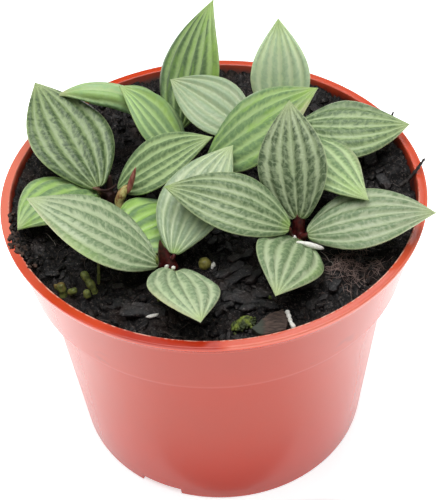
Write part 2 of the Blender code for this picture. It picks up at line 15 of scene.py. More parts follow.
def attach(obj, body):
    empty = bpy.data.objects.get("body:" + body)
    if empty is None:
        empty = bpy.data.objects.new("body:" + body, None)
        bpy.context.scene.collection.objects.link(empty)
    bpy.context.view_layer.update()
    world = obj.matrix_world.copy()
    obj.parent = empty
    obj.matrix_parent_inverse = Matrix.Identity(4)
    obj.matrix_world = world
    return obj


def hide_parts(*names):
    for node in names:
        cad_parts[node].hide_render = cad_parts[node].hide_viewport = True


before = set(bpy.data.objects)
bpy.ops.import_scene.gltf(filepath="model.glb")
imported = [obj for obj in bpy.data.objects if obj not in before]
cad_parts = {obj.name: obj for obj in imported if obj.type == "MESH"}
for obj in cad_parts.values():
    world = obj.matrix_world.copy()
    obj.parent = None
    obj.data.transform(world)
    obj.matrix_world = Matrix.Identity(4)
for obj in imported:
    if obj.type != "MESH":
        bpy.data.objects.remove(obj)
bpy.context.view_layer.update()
MM = 0.001


# Nursery pot
# One thin moulding of terracotta-coloured plastic: a rolled lip over a wide collar, then a
# tapered body on a foot ring. Three vents are notched into the ring and six holes drain the floor.

POT_HEIGHT = 88.0
RIM_RADIUS = 60.0
LIP_INNER_RADIUS = 57.4
COLLAR_FOOT = 65.8
COLLAR_FOOT_RADIUS = 55.0
BODY_TOP_RADIUS = 51.4
BASE_RADIUS = 45.4
WALL = 1.2
FLOOR_TOP = 3.6
POT_SIDES = 240
DRAINS = 6
DRAIN_RADIUS = 4.0
DRAIN_CIRCLE = 30.0
VENT_HEADINGS = (243.0, 3.0, 123.0)
VENT_CIRCLE = 43.9
VENT_SIZE = (6.0, 13.4, 5.2)

# Scuffs on the collar: the middle and the reach of each
SCUFFS = [((-31.0, -46.0, 69.5), 4.5), ((24.0, -50.0, 69.5), 2.2), ((33.0, -44.6, 69.5), 4.5)]

# Radius, height and rounding of each corner, from under the floor round the outside and back in
POT_SECTION = [
    (0.0, 2.2, 0.0),
    (41.8, 2.2, 0.3),
    (42.4, 0.0, 0.3),
    (45.2, 0.0, 0.6),
    (BASE_RADIUS, 0.8, 0.3),
    (BODY_TOP_RADIUS, COLLAR_FOOT, 0.5),
    (COLLAR_FOOT_RADIUS - 0.1, COLLAR_FOOT, 0.3),
    (COLLAR_FOOT_RADIUS, COLLAR_FOOT + 0.3, 0.3),
    (58.35, 84.6, 1.2),
    (59.85, 86.5, 0.9),
    (RIM_RADIUS, POT_HEIGHT, 0.4),
    (LIP_INNER_RADIUS, POT_HEIGHT, 0.35),
    (COLLAR_FOOT_RADIUS - WALL, COLLAR_FOOT + WALL, 1.0),
    (BODY_TOP_RADIUS - WALL, COLLAR_FOOT + WALL, 1.0),
    (BASE_RADIUS - WALL, FLOOR_TOP, 1.2),
    (0.0, FLOOR_TOP, 0.0),
]


def set_out(name, data):
    """Stand a mesh, a lamp or a camera in the scene."""
    thing = bpy.data.objects.new(name, data)
    bpy.context.scene.collection.objects.link(thing)
    return thing


def add_piece(name, points, faces, materials, smooth=True):
    """An object from points in millimetres and one material or more."""
    mesh = bpy.data.meshes.new(name)
    mesh.from_pydata((np.asarray(points, float) * MM).tolist(), [], faces)
    for material in materials:
        mesh.materials.append(material)
    if smooth:
        mesh.shade_smooth()
    mesh.validate()
    return set_out(name, mesh)


def fit(piece, slot, *nodes):
    """Fix a piece to the pot and hide the solids that it stands for; the slot is not used."""
    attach(piece, "root")
    if nodes:
        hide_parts(*nodes)


def freeze(piece):
    """Turn a piece's modifiers into its own mesh."""
    graph = bpy.context.evaluated_depsgraph_get()
    done = bpy.data.meshes.new_from_object(piece.evaluated_get(graph))
    piece.modifiers.clear()
    piece.data = done


def rounded(corners, steps=4):
    """A section line through corners, each turned with its own rounding."""
    line = []
    for i, (radius, height, rounding) in enumerate(corners):
        here = Vector((radius, height))
        if rounding == 0.0:
            line.append(here)
            continue
        start = here + (Vector(corners[i - 1][:2]) - here).normalized() * rounding
        end = here + (Vector(corners[i + 1][:2]) - here).normalized() * rounding
        for k in range(steps + 1):
            t = k / steps
            line.append(start * (1 - t) ** 2 + here * (2 * t * (1 - t)) + end * t ** 2)
    return line


def turned(name, section, sides, materials):
    """A closed round body whose section starts and ends on the axis."""
    points = [(0.0, 0.0, section[0].y)]
    faces = []
    for spot in section[1:-1]:
        for k in range(sides):
            angle = 2.0 * math.pi * k / sides
            points.append((spot.x * math.cos(angle), spot.x * math.sin(angle), spot.y))
    points.append((0.0, 0.0, section[-1].y))
    rings = len(section) - 2
    for k in range(sides):
        after = (k + 1) % sides
        faces.append((0, 1 + after, 1 + k))
        last = 1 + (rings - 1) * sides
        faces.append((len(points) - 1, last + k, last + after))
        for ring in range(rings - 1):
            low = 1 + ring * sides
            faces.append((low + k, low + after, low + sides + after, low + sides + k))
    return add_piece(name, points, faces, materials)


def block(name, size, place, turn):
    """A box used as a cutter."""
    mesh_data = bmesh.new()
    bmesh.ops.create_cube(mesh_data, size=1.0)
    where = Matrix.Translation(Vector(place) * MM) @ Matrix.Rotation(turn, 4, "Z")
    mesh_data.transform(where @ Matrix.Diagonal((*[side * MM for side in size], 1.0)))
    mesh = bpy.data.meshes.new(name)
    mesh_data.to_mesh(mesh)
    mesh_data.free()
    return set_out(name, mesh)


def cut(piece, cutters):
    """Take the cutters out of a piece and remove them."""
    group = bpy.data.collections.new("cutters")
    bpy.context.scene.collection.children.link(group)
    for cutter in cutters:
        group.objects.link(cutter)
    change = piece.modifiers.new("cut", "BOOLEAN")
    change.operand_type = "COLLECTION"
    change.collection = group
    change.solver = "EXACT"
    freeze(piece)
    for cutter in cutters:
        bpy.data.objects.remove(cutter, do_unlink=True)
    bpy.data.collections.remove(group)


class Signal:
    """An output of a node. A sum of signals and numbers adds the nodes that work it out."""

    def __init__(self, socket):
        self.socket = socket
        self.tree = socket.id_data

    def __add__(self, other):
        return maths("ADD", self, other)

    def __sub__(self, other):
        return maths("SUBTRACT", self, other)

    def __rsub__(self, other):
        return maths("SUBTRACT", other, self)

    def __mul__(self, other):
        return maths("MULTIPLY", self, other)

    def __truediv__(self, other):
        return maths("DIVIDE", self, other)

    def __rtruediv__(self, other):
        return maths("DIVIDE", other, self)


def feed(node, sockets):
    """Give a node's sockets a value each, or link them to a signal."""
    for name, value in sockets.items():
        if isinstance(value, Signal):
            value.tree.links.new(value.socket, node.inputs[name])
        else:
            node.inputs[name].default_value = value


def put(tree, kind, sockets=None, output=0, **settings):
    """Add a node and give back one of its outputs."""
    node = tree.nodes.new("ShaderNode" + kind)
    for name, value in settings.items():
        setattr(node, name, value)
    feed(node, sockets or {})
    return Signal(node.outputs[output])


def maths(operation, *values):
    tree = next(value.tree for value in values if isinstance(value, Signal))
    return put(tree, "Math", dict(enumerate(values)), operation=operation)


def measure(operation, *places):
    """The length of a place, or a number that two places make."""
    return put(places[0].tree, "VectorMath", dict(enumerate(places)), "Value", operation=operation)


def axes(place):
    """A place's three coordinates."""
    split = put(place.tree, "SeparateXYZ", {0: place})
    return [Signal(socket) for socket in split.socket.node.outputs]


def tint(share, first, second):
    """Mix two colours; a colour is a signal or linear red, green and blue."""
    pair = [c if isinstance(c, Signal) else (*c, 1.0) for c in (first, second)]
    return put(share.tree, "Mix", {0: share, 6: pair[0], 7: pair[1]}, 2, data_type="RGBA")


def step(value, low, high, start=0.0, end=1.0):
    """A soft step from start to end as value goes from low to high."""
    sockets = {"Value": value, "From Min": low, "From Max": high, "To Min": start, "To Max": end}
    return put(value.tree, "MapRange", sockets, "Result", interpolation_type="SMOOTHSTEP")


def speckle(place, scale, detail=2.0, roughness=0.5):
    """Cloudy values of about 0 to 1; scale is in clouds a millimetre."""
    sockets = {"Vector": place, "Scale": scale, "Detail": detail, "Roughness": roughness}
    return put(place.tree, "TexNoise", sockets, "Fac")


def stretched(place, *times):
    """The same place with its axes stretched, for grain that runs one way."""
    return put(place.tree, "VectorMath", {0: place, 1: times}, operation="MULTIPLY")


def new_material(name):
    """A material, and the place on its piece in millimetres."""
    material = bpy.data.materials.new(name)
    material.use_nodes = True
    spot = put(material.node_tree, "TexCoord", output="Object")
    return material, stretched(spot, 1000.0, 1000.0, 1000.0)


def finished(material, colour, rough, others):
    """Give a material's shader its colour, its roughness and its other values."""
    shader = material.node_tree.nodes["Principled BSDF"]
    feed(shader, {"Base Color": colour, "Roughness": rough, **others})
    return material


def new_group(name, inputs, outputs):
    """A node group; inputs and outputs give each socket's kind by its name."""
    group = bpy.data.node_groups.new(name, "ShaderNodeTree")
    for side, sockets in (("INPUT", inputs), ("OUTPUT", outputs)):
        for label, kind in sockets.items():
            group.interface.new_socket(label, in_out=side, socket_type="NodeSocket" + kind)
    source = group.nodes.new("NodeGroupInput")
    result = group.nodes.new("NodeGroupOutput")
    return group, {label: Signal(source.outputs[label]) for label in inputs}, result


def use_group(tree, group, sockets):
    node = tree.nodes.new("ShaderNodeGroup")
    node.node_tree = group
    feed(node, sockets)
    return {socket.name: Signal(socket) for socket in node.outputs}


# Grain: a coarse and a fine cloud of one size, and the bumps that they make
GRAIN, given, made = new_group(
    "grain",
    {"Place": "Vector", "Size": "Float", "Depth": "Float"},
    {"Coarse": "Float", "Fine": "Float", "Normal": "Vector"},
)
coarse = speckle(given["Place"], 1.0 / given["Size"], 3.0, 0.55)
fine = speckle(given["Place"], 5.0 / given["Size"], 3.0, 0.6)
relief = {"Height": coarse + fine * 0.35, "Distance": given["Depth"], "Strength": 1.0}
feed(made, {"Coarse": coarse, "Fine": fine, "Normal": put(GRAIN, "Bump", relief)})


def grained(place, size, depth):
    return use_group(place.tree, GRAIN, {"Place": place, "Size": size, "Depth": depth})


def terracotta_plastic():
    material, place = new_material("terracotta plastic")
    x, y, z = axes(place)
    outward = stretched(place, 1, 1, 0)
    reach = measure("LENGTH", outward)

    # Flow marks run down the wall, and the colour clouds a little
    flow = speckle(stretched(place, 1, 1, 0.03), 0.16, 3.0)
    cloud = speckle(place, 0.05, 3.0)
    colour = tint(cloud, (0.46, 0.030, 0.003), (0.53, 0.034, 0.004))
    colour = tint(flow * 0.16, colour, (0.46, 0.040, 0.012))
    # Painted shade darkens the wall a little from the collar up and deepens the red towards the
    # foot, and painted light brightens the lip.
    colour = tint(step(z, 60.0, 80.0, 0.0, 0.16), colour, (0.20, 0.020, 0.005))
    colour = tint(step(z, 2.0, 45.0, 0.5, 0.0), colour, (0.64, 0.020, 0.002))
    colour = tint(step(z, 85.2, 86.6, 0.0, 0.8), colour, (0.68, 0.056, 0.008))

    # Painted highlights pale the lip at the left, at the right and along its outer edge at the
    # right, and painted shade deepens its red at the front
    on_lip = step(z, 86.6, 87.4)
    left_lip = step(x, -50.0, -42.0, 1.0, 0.0) * step(y, -28.0, -14.0, 0.25, 1.0)
    right_lip = step(x, 0.0, 3.0) * step(y, -20.0, 10.0, 0.15, 0.1)
    outer_edge = right_lip * step(reach, 59.1, 59.5, 0.0, 3.5)
    lip_highlight = maths("MAXIMUM", maths("MAXIMUM", left_lip * 0.75, right_lip), outer_edge)
    colour = tint(lip_highlight * on_lip, colour, (0.86, 0.25, 0.17))
    deep = step(x, -32.0, -22.0) * step(x, -1.5, 1.0, 1.0, 0.0) * step(y, -30.0, 0.0, 0.7, 0.0)
    colour = tint(deep * on_lip, colour, (0.40, 0.012, 0.002))

    # A painted highlight runs along the collar's foot edge, and scuffs darken it in a few places
    collar_highlight = step(z, 65.3, 65.8) * step(z, 66.3, 67.0, 1.0, 0.0)
    collar_highlight = collar_highlight * step(reach, 54.2, 54.6, 0.0, 0.32)
    colour = tint(collar_highlight, colour, (0.64, 0.11, 0.075))
    scuffed = 0.0
    for spot, size in SCUFFS:
        away = measure("DISTANCE", place, spot)
        scuffed = maths("MAXIMUM", scuffed, step(away, 0.4 * size, size, 1.0, 0.0))
    patches = step(speckle(stretched(place, 1, 1, 1.6), 0.24), 0.46, 0.60)
    colour = tint(scuffed * patches * 0.3, colour, (0.22, 0.026, 0.016))

    # Damp soil has marked the inside wall, and painted shade darkens it too, most of all low down
    # beside the mix
    normal = put(place.tree, "NewGeometry", output="Normal")
    inside = step(measure("DOT_PRODUCT", normal, outward), -20.0, -8.0, 1.0, 0.0)
    dirt_and_shade = inside * step(z + speckle(place, 0.30, 4.0, 0.6) * 5.0, 87.2, 90.8, 1.0, 0.3)
    dust_and_shade = tint(step(y, 42.0, 52.0), (0.045, 0.009, 0.006), (0.086, 0.072, 0.066))
    colour = tint(dirt_and_shade * 0.9, colour, dust_and_shade)

    # A painted glint runs along the lip's inner edge at the front
    inner_glint = step(reach, 57.25, 57.45) * step(reach, 57.65, 57.95, 1.0, 0.0)
    inner_glint = inner_glint * step(speckle(place, 0.8, 3.0, 0.6), 0.42, 0.58, 0.1, 0.8)
    inner_glint = inner_glint * step(y, -20.0, 5.0, 1.0, 0.0) * step(z, 87.2, 87.6)
    colour = tint(inner_glint, colour, (0.90, 0.52, 0.40))

    grain = grained(place, 0.5, 0.000006)
    ripple = put(place.tree, "Bump", {
        "Height": flow, "Distance": 0.0001, "Strength": 0.3, "Normal": grain["Normal"],
    })
    rough = cloud * 0.10 + 0.19 + dirt_and_shade * 0.3
    return finished(material, colour, rough, {"Normal": ripple, "IOR": 1.52})


pot = turned("nursery_pot", rounded(POT_SECTION), POT_SIDES, [terracotta_plastic()])
hole = [(0.0, 0.5), (DRAIN_RADIUS, 0.5), (DRAIN_RADIUS, 5.2), (0.0, 5.2)]
cutters = []
for i in range(DRAINS):
    angle = math.pi * (2 * i + 1) / DRAINS
    drain = turned("drain", [Vector(corner) for corner in hole], 32, [])
    drain.data.transform(Matrix.Translation((
        DRAIN_CIRCLE * math.cos(angle) * MM, DRAIN_CIRCLE * math.sin(angle) * MM, 0.0)))
    cutters.append(drain)
for heading in VENT_HEADINGS:
    angle = math.radians(heading)
    middle = (VENT_CIRCLE * math.cos(angle), VENT_CIRCLE * math.sin(angle), 0.3)
    cutters.append(block("vent", VENT_SIZE, middle, angle))
cut(pot, cutters)
pot.data.shade_smooth()
pot.data.set_sharp_from_angle(angle=math.radians(35.0))
fit(pot, "terracotta_plastic", "pot")


# Potting mix
# Moist peat and composted bark, nearly black. It fills the pot to some 6 mm under the lip, is
# heaped a little at the back and at the left, and is broken up into clods with cracks between.

SOIL_LEVEL = 82.0
MOUNDS = [
    (-52, -20, 10, 3.8),
    (4, 52, 13, 3.4),
    (-30, 44, 12, -2.2),
    (36, -30, 12, 1.6),
    (-10, -46, 16, 1.0),
    (6, -34, 7, -1.4),
    (50, 8, 10, 1.4),
    (-20, -14, 10, -1.2),
    (-32, 3, 6, -1.4),
    (-8, 12, 9, -1.2),
]
SPOTS = {
    "bead": (-2.1, -26.4, 4.2),
    "perlite": (-17.5, -44.6, 2.2),
    "sliver": (28.4, -22.2, 4.5),
    "stick": (18.6, -46.8, 3.6),
    "bark": (12.0, -48.2, 5.0),
    "sprouts": (-33.8, -31.0, 3.4),
    "far_sprouts": (-41.4, -32.2, 3.4),
    "twig": (53.5, 1.0, 2.2),
}
SPOT_BLEND = 3.5
SOIL_CELLS = 236
CLOD_SEED = 7
noise.seed_set(CLOD_SEED)


def rolling_level(x, y):
    """The mix's height without its clods and without the flat spots."""
    u, v = x * MM, y * MM
    height = SOIL_LEVEL + (
        0.8 * math.sin(210.0 * u + 1.3) * math.sin(180.0 * v + 0.4)
        + 0.5 * math.sin(430.0 * u - 160.0 * v + 2.1)
        + 0.4 * math.sin(250.0 * u + 520.0 * v + 0.7)
    )
    for mound_x, mound_y, spread, rise in MOUNDS:
        away = ((x - mound_x) ** 2 + (y - mound_y) ** 2) / spread ** 2
        height += rise * math.exp(-away)
    return height


def banked(x, y):
    """How far the mix is pushed up against the wall at the back and the sides."""
    near_wall = min(1.0, max(0.0, (math.hypot(x, y) - 45.0) / 9.5))
    behind = min(1.0, max(0.0, (y + 34.0) / 24.0))
    short = max(0.0, 85.9 - rolling_level(x, y))
    return short * near_wall ** 2 * (3.0 - 2.0 * near_wall) * behind


def soil_level(x, y):
    """The height under small things, drawn to each flat spot's own level near that spot."""
    total = rolling_level(x, y) + banked(x, y)
    weights = 1.0
    for spot_x, spot_y, radius in SPOTS.values():
        away = (math.hypot(x - spot_x, y - spot_y) - radius) / SPOT_BLEND
        if away < 1.0:
            share = max(away, 0.00001)
            weight = ((1.0 - share) / share) ** 2
            total += weight * rolling_level(spot_x, spot_y)
            weights += weight
    return total / weights


def clods(x, y, size, seed):
    """Packed lumps of about one size, from 0 in a crack to 1 on the highest."""
    place = Vector((x / size, y / size, seed))
    place += 0.4 * noise.noise_vector(place * 1.1)
    near, centres = noise.voronoi(place)
    crack = min(1.0, (near[1] - near[0]) / 0.3)
    lift = math.sin(centres[0].dot(Vector((127.1, 311.7, 74.7)))) * 43758.5453 % 1.0
    return math.sqrt(crack) * (0.45 + 0.55 * lift)


def soil_top(x, y):
    """The height of the broken surface."""
    loose = 1.0
    for spot_x, spot_y, radius in SPOTS.values():
        away = math.hypot(x - spot_x, y - spot_y)
        loose = min(loose, max(0.15, (away - 0.7 * radius) / 2.0))
    lumps = 1.7 * clods(x, y, 6.0, 0.3) + 1.1 * clods(x, y, 2.9, 4.7)
    lumps += 0.5 * clods(x, y, 1.4, 9.1)
    crumbly = 0.25 * noise.noise(Vector((x * 1.9, y * 1.9, 2.0)))
    return soil_level(x, y) + loose * (lumps + crumbly - 2.2)


def inner_radius(height):
    """The pot's inside radius beside the mix."""
    share = (height - COLLAR_FOOT - WALL) / (POT_HEIGHT - COLLAR_FOOT - WALL)
    low = COLLAR_FOOT_RADIUS - WALL
    return low + min(1.0, share) * (LIP_INNER_RADIUS - low)


def potting_mix():
    material, place = new_material("potting mix")
    grain = grained(place, 1.6, 0.00025)
    brown = step(speckle(place, 0.11, 3.0), 0.50, 0.70)
    colour = tint(brown, (0.0062, 0.0060, 0.0064), (0.0240, 0.0165, 0.0145))
    flecks = step(speckle(place, 1.5, 2.0, 0.6), 0.57, 0.66, 0.0, 0.75)
    colour = tint(flecks, colour, (0.070, 0.054, 0.047))
    # The fine pale specks are painted glints as well as pale grains
    bright = step(speckle(place, 2.6, 2.0, 0.6), 0.62, 0.70, 0.0, 0.85)
    colour = tint(bright, colour, (0.190, 0.160, 0.145))
    rough = 0.80 - step(grain["Coarse"], 0.42, 0.60) * 0.40
    damp = {"Normal": grain["Normal"], "Specular IOR Level": 0.22}
    return finished(material, colour, rough, damp)


def disc_grid(cells, radius_of):
    """Points of a square grid drawn out to a round edge, and its faces and its border."""
    points = []
    for j in range(cells + 1):
        for i in range(cells + 1):
            a = 2.0 * i / cells - 1.0
            b = 2.0 * j / cells - 1.0
            if abs(a) > abs(b):
                reach, angle = a, math.pi / 4 * b / a
            elif b != 0.0:
                reach, angle = b, math.pi / 2 - math.pi / 4 * a / b
            else:
                reach, angle = 0.0, 0.0
            edge = radius_of(reach * math.cos(angle), reach * math.sin(angle))
            points.append((reach * edge * math.cos(angle), reach * edge * math.sin(angle)))
    row = cells + 1
    faces = []
    for j in range(cells):
        for i in range(cells):
            corner = j * row + i
            faces.append((corner, corner + 1, corner + row + 1, corner + row))
    border = list(range(row)) + [j * row + cells for j in range(1, row)]
    border += [cells * row + i for i in range(cells - 1, -1, -1)]
    border += [j * row for j in range(cells - 1, 0, -1)]
    return points, faces, border


def soil_edge(a, b):
    """The mix's edge in the direction of a grid point."""
    away = max(math.hypot(a, b), 0.000001)
    x, y = 56.3 * a / away, 56.3 * b / away
    return inner_radius(soil_level(x, y)) - 0.05


SOIL = potting_mix()
flat_points, soil_faces, border = disc_grid(SOIL_CELLS, soil_edge)
soil_points = []
for x, y in flat_points:
    near_wall = max(0.0, math.hypot(x, y) - 54.5) / 2.0
    height = soil_top(x, y)
    soil_points.append((x, y, height - 0.8 * near_wall * (1.0 - near_wall)))
under_wall = [
    (COLLAR_FOOT_RADIUS - WALL - 0.3, COLLAR_FOOT + WALL + 0.3),
    (BODY_TOP_RADIUS - WALL - 0.3, COLLAR_FOOT + WALL + 0.3),
    (BASE_RADIUS - WALL - 0.3, FLOOR_TOP + 1.3),
    (BASE_RADIUS - WALL - 1.3, FLOOR_TOP + 0.3),
]
upper = border
for radius, height in under_wall:
    lower = []
    for index in border:
        x, y, _ = soil_points[index]
        away = math.hypot(x, y)
        lower.append(len(soil_points))
        soil_points.append((x / away * radius, y / away * radius, height))
    for k in range(len(border)):
        after = (k + 1) % len(border)
        soil_faces.append((upper[k], lower[k], lower[after], upper[after]))
    upper = lower
soil_faces.append(tuple(reversed(upper)))
soil = add_piece("potting_mix", soil_points, soil_faces, [SOIL])
fit(soil, "potting_mix", "soil")


# Crumbs and chips in the mix
# Loose crumbs of peat and longer chips of composted bark lie over the surface. The chips are
# damp and shine. A few large ones lie at the front, and crumbs are spilled on the lip's left.


class Parts:
    """Loose bodies gathered into one mesh."""

    def __init__(self):
        self.points = []
        self.faces = []

    def add(self, points, faces):
        start = len(self.points)
        self.points.extend(points)
        self.faces.extend(tuple(start + k for k in face) for face in faces)


def ball_shape(subdivisions):
    """The points and faces of a ball of radius 1."""
    mesh_data = bmesh.new()
    bmesh.ops.create_icosphere(mesh_data, subdivisions=subdivisions, radius=1.0)
    points = [corner.co.copy() for corner in mesh_data.verts]
    faces = [tuple(corner.index for corner in face.verts) for face in mesh_data.faces]
    mesh_data.free()
    return points, faces


SMALL_BALL = ball_shape(1)
FINE_BALL = ball_shape(2)


def ring_faces(rings, sides):
    """The sides and then the ends of a tube made of rings of points."""
    faces = []
    for low in range(0, (rings - 1) * sides, sides):
        for k in range(sides):
            after = (k + 1) % sides
            faces.append((low + k, low + after, low + sides + after, low + sides + k))
    last = (rings - 1) * sides
    return faces + [tuple(reversed(range(sides))), tuple(range(last, last + sides))]


def anywhere(rng):
    """A shift that gives each body its own noise."""
    return Vector([rng.uniform(0, 90) for _ in range(3)])


def add_lump(parts, ball, centre, size, turn, rng, rough=0.35):
    """A rough grain; size is its half length, half width and half height."""
    shift = anywhere(rng)
    lean = Matrix.Rotation(rng.uniform(-0.5, 0.5), 3, "X")
    rotate = Matrix.Rotation(turn, 3, "Z") @ lean
    points = []
    for corner in ball[0]:
        swell = 1.0 + rough * noise.noise(corner * 1.3 + shift)
        swell += 0.5 * rough * noise.noise(corner * 3.1 + shift)
        place = Vector(corner[k] * size[k] * swell for k in range(3))
        points.append(tuple(rotate @ place + Vector(centre)))
    parts.add(points, ball[1])


def add_chip(parts, centre, length, width, thickness, turn, tilt, bend, rng):
    """A splinter with blunt, ragged ends: a few cross-sections along a bent middle line."""
    stations = 11
    around = 10
    rotate = Matrix.Rotation(turn, 3, "Z") @ Matrix.Rotation(-tilt, 3, "Y")
    points = []
    lean = rng.uniform(-0.25, 0.25)
    slanted = [rng.uniform(-0.9, 0.9), rng.uniform(-0.9, 0.9)]
    shift = anywhere(rng)
    for i in range(stations):
        t = i / (stations - 1)
        blunt = min(1.0, 0.62 + 4.0 * min(t, 1.0 - t))
        along = (t - 0.5) * length
        ragged = 1.0 + 0.35 * noise.noise(Vector((t * 4.0, 0.0, 0.0)) + shift)
        wide = 0.5 * width * blunt * ragged
        thick = 0.5 * thickness * blunt
        end = (1.0 - t) * slanted[0] + t * slanted[1]
        for k in range(around):
            angle = 2.0 * math.pi * (k + 0.5) / around
            side = math.copysign(abs(math.cos(angle)) ** 0.6, math.cos(angle)) * wide
            up = math.copysign(abs(math.sin(angle)) ** 0.6, math.sin(angle)) * thick
            ridge = noise.noise(Vector((t * 2.2, side * 1.7, up)) + shift)
            up += 0.45 * thickness * ridge * (1.0 if up > 0.0 else 0.4)
            along_here = along + end * side
            side += bend * (1.0 - 4.0 * (t - 0.5) ** 2) + lean * along
            points.append(tuple(rotate @ Vector((along_here, side, up)) + Vector(centre)))
    parts.add(points, ring_faces(stations, around))


def place_parts(name, parts, material, slot, *nodes):
    """Make gathered bodies one piece and fix it to the pot."""
    piece = add_piece(name, parts.points, parts.faces, [material])
    fit(piece, slot, *nodes)
    return piece


def dark_bark():
    material, place = new_material("damp dark bark")
    grain = grained(place, 1.0, 0.0005)
    shade = step(speckle(place, 0.23), 0.4, 0.65)
    colour = tint(shade, (0.0055, 0.0055, 0.0065), (0.018, 0.012, 0.011))
    # The pale specks are painted glints as well as worn spots
    worn = step(speckle(place, 1.8, 3.0, 0.65), 0.58, 0.68, 0.0, 0.85)
    colour = tint(worn, colour, (0.165, 0.142, 0.132))
    return finished(material, colour, grain["Coarse"] * 0.35 + 0.22, {"Normal": grain["Normal"]})


def mottled(name, size, depth, cloud, span, dark, light, rough):
    """A grained finish clouded between two colours; a cloud of None is the grain's own."""
    material, place = new_material(name)
    grain = grained(place, size, depth)
    shade = speckle(place, cloud) if cloud else grain["Coarse"]
    colour = tint(step(shade, *span), dark, light)
    return finished(material, colour, rough, {"Normal": grain["Normal"]})


rng = random.Random(5)
crumbs = Parts()
chips = Parts()
brown_crumbs = Parts()


def random_spot(rng, limit=54.8):
    angle = rng.uniform(0.0, 2.0 * math.pi)
    reach = limit * math.sqrt(rng.random())
    return reach * math.cos(angle), reach * math.sin(angle)


for i in range(1000):
    x, y = random_spot(rng)
    size = rng.choice((0.25, 0.35, 0.45, 0.6, 0.8, 1.1, 1.5))
    half = (
        size * rng.uniform(0.8, 1.5), size * rng.uniform(0.6, 1.0), size * rng.uniform(0.4, 0.8))
    centre = (x, y, soil_top(x, y) + 0.15 * size)
    ball = FINE_BALL if size > 1.0 else SMALL_BALL
    group = brown_crumbs if i % 9 == 0 and size < 0.8 else crumbs
    add_lump(group, ball, centre, half, rng.uniform(0, 6.3), rng, 0.5)

for i in range(190):
    x, y = random_spot(rng, 53.0)
    length = rng.uniform(1.8, 5.0)
    centre = (x, y, soil_top(x, y) + 0.25)
    add_chip(chips, centre, length, length * rng.uniform(0.25, 0.6), rng.uniform(0.4, 0.9),
             rng.uniform(0, 6.3), rng.uniform(-0.3, 0.3), rng.uniform(-0.4, 0.4), rng)

# Large chips at the front: middle, length, width, thickness, turn, tilt and bend
LARGE_CHIPS = [
    (4.6, -31.6, 12.0, 3.2, 1.8, 35, 6, 1.4),
    (3.0, -27.4, 9.0, 2.6, 1.5, 20, 4, -0.8),
    (5.6, -38.0, 9.5, 4.2, 1.9, -20, -5, 0.6),
    (10.4, -42.4, 10.0, 2.4, 1.5, -3, 3, 0.4),
    (11.4, -37.2, 6.0, 2.8, 1.6, -14, 8, 0.5),
    (1.4, -41.0, 7.0, 2.4, 1.5, 28, -4, 0.5),
    (6.6, -23.6, 6.5, 2.4, 1.4, 12, 5, 0.5),
    (10.0, -29.6, 6.0, 2.4, 1.6, 60, -6, 0.4),
    (26.0, -41.0, 7.0, 2.6, 1.5, 32, 4, 0.4),
    (31.0, -36.6, 5.4, 2.4, 1.4, 55, -3, 0.3),
    (24.0, -34.5, 6.4, 2.6, 1.5, 15, 5, -0.5),
    (-19.8, -42.6, 12.0, 4.4, 1.6, -8, 3, 0.6),
    (-27.0, -38.4, 8.0, 3.0, 1.5, 24, -3, 0.5),
    (-6.0, -46.4, 6.4, 2.6, 1.4, -30, 5, 0.4),
    (-44.4, -27.2, 3.8, 1.5, 1.0, 5, -4, 0.3),
    (47.0, 14.0, 8.0, 3.4, 1.6, 80, 4, 0.5),
    (45.6, 22.0, 7.0, 3.0, 1.5, 120, -4, 0.4),
    (49.0, 3.0, 6.0, 2.6, 1.5, 100, 5, 0.3),
    (34.0, 36.0, 8.0, 3.2, 1.6, 140, 3, 0.5),
    (4.0, 44.0, 9.0, 3.4, 1.8, 170, 4, 0.5),
]
for x, y, length, width, thickness, turn, tilt, bend in LARGE_CHIPS:
    centre = (x, y, soil_level(x, y) + 0.1)
    turn, tilt = math.radians(turn), math.radians(tilt)
    add_chip(chips, centre, length, width, thickness, turn, tilt, bend, rng)

# Crumbs heaped against the wall and spilled on the lip at the left
for i in range(340):
    heading = rng.triangular(185.0, 211.0, 197.0)
    spill = 1.9 * math.exp(-((heading - 199.5) / 4.0) ** 2)
    reach = min(57.3 + spill, rng.gauss(55.7 + 0.6 * spill, 1.3))
    heading = math.radians(heading)
    size = rng.uniform(0.25, 0.85)
    x, y = reach * math.cos(heading), reach * math.sin(heading)
    on_lip = reach > 56.9
    if on_lip:
        height = POT_HEIGHT + 0.3 * size
        size *= 0.7
    else:
        height = max(soil_top(x, y), 84.6 + 0.85 * (reach - 53.6)) + 0.2
    group = brown_crumbs if i % 5 == 0 or on_lip and i % 3 > 0 else crumbs
    half = (size * 1.3, size, size * 0.8)
    add_lump(group, SMALL_BALL, (x, y, height), half, rng.uniform(0, 6), rng, 0.5)

place_parts("peat_crumbs", crumbs, SOIL, "potting_mix")
chip_piece = place_parts("bark_chips", chips, dark_bark(), "potting_mix")
chip_piece.data.set_sharp_from_angle(angle=math.radians(50.0))
brown = mottled("brown crumb", 0.6, 0.0001, 0.35, (0.35, 0.7),
                (0.035, 0.020, 0.015), (0.105, 0.060, 0.042), 0.8)
place_parts("brown_crumbs", brown_crumbs, brown, "potting_mix")


# Fine roots
# Hair-thin roots and peat fibres lie over the mix. A tangle of pinkish ones shows at the right of
# the front, one pale root leads to it from the right-hand shoot, and one curls at the left.


def add_tube(parts, line, radii, sides=14, up=(0.37, 0.93, 0.05)):
    """A round closed tube along a line of points, with its own radius at each of them."""
    line = [Vector(spot) for spot in line]
    points = []
    for i, spot in enumerate(line):
        along = (line[min(i + 1, len(line) - 1)] - line[max(i - 1, 0)]).normalized()
        across = along.cross(Vector(up)).normalized()
        other = along.cross(across)
        for k in range(sides):
            angle = 2.0 * math.pi * k / sides
            outward = across * math.cos(angle) + other * math.sin(angle)
            points.append(tuple(spot + outward * radii[i]))
    parts.add(points, ring_faces(len(line), sides))


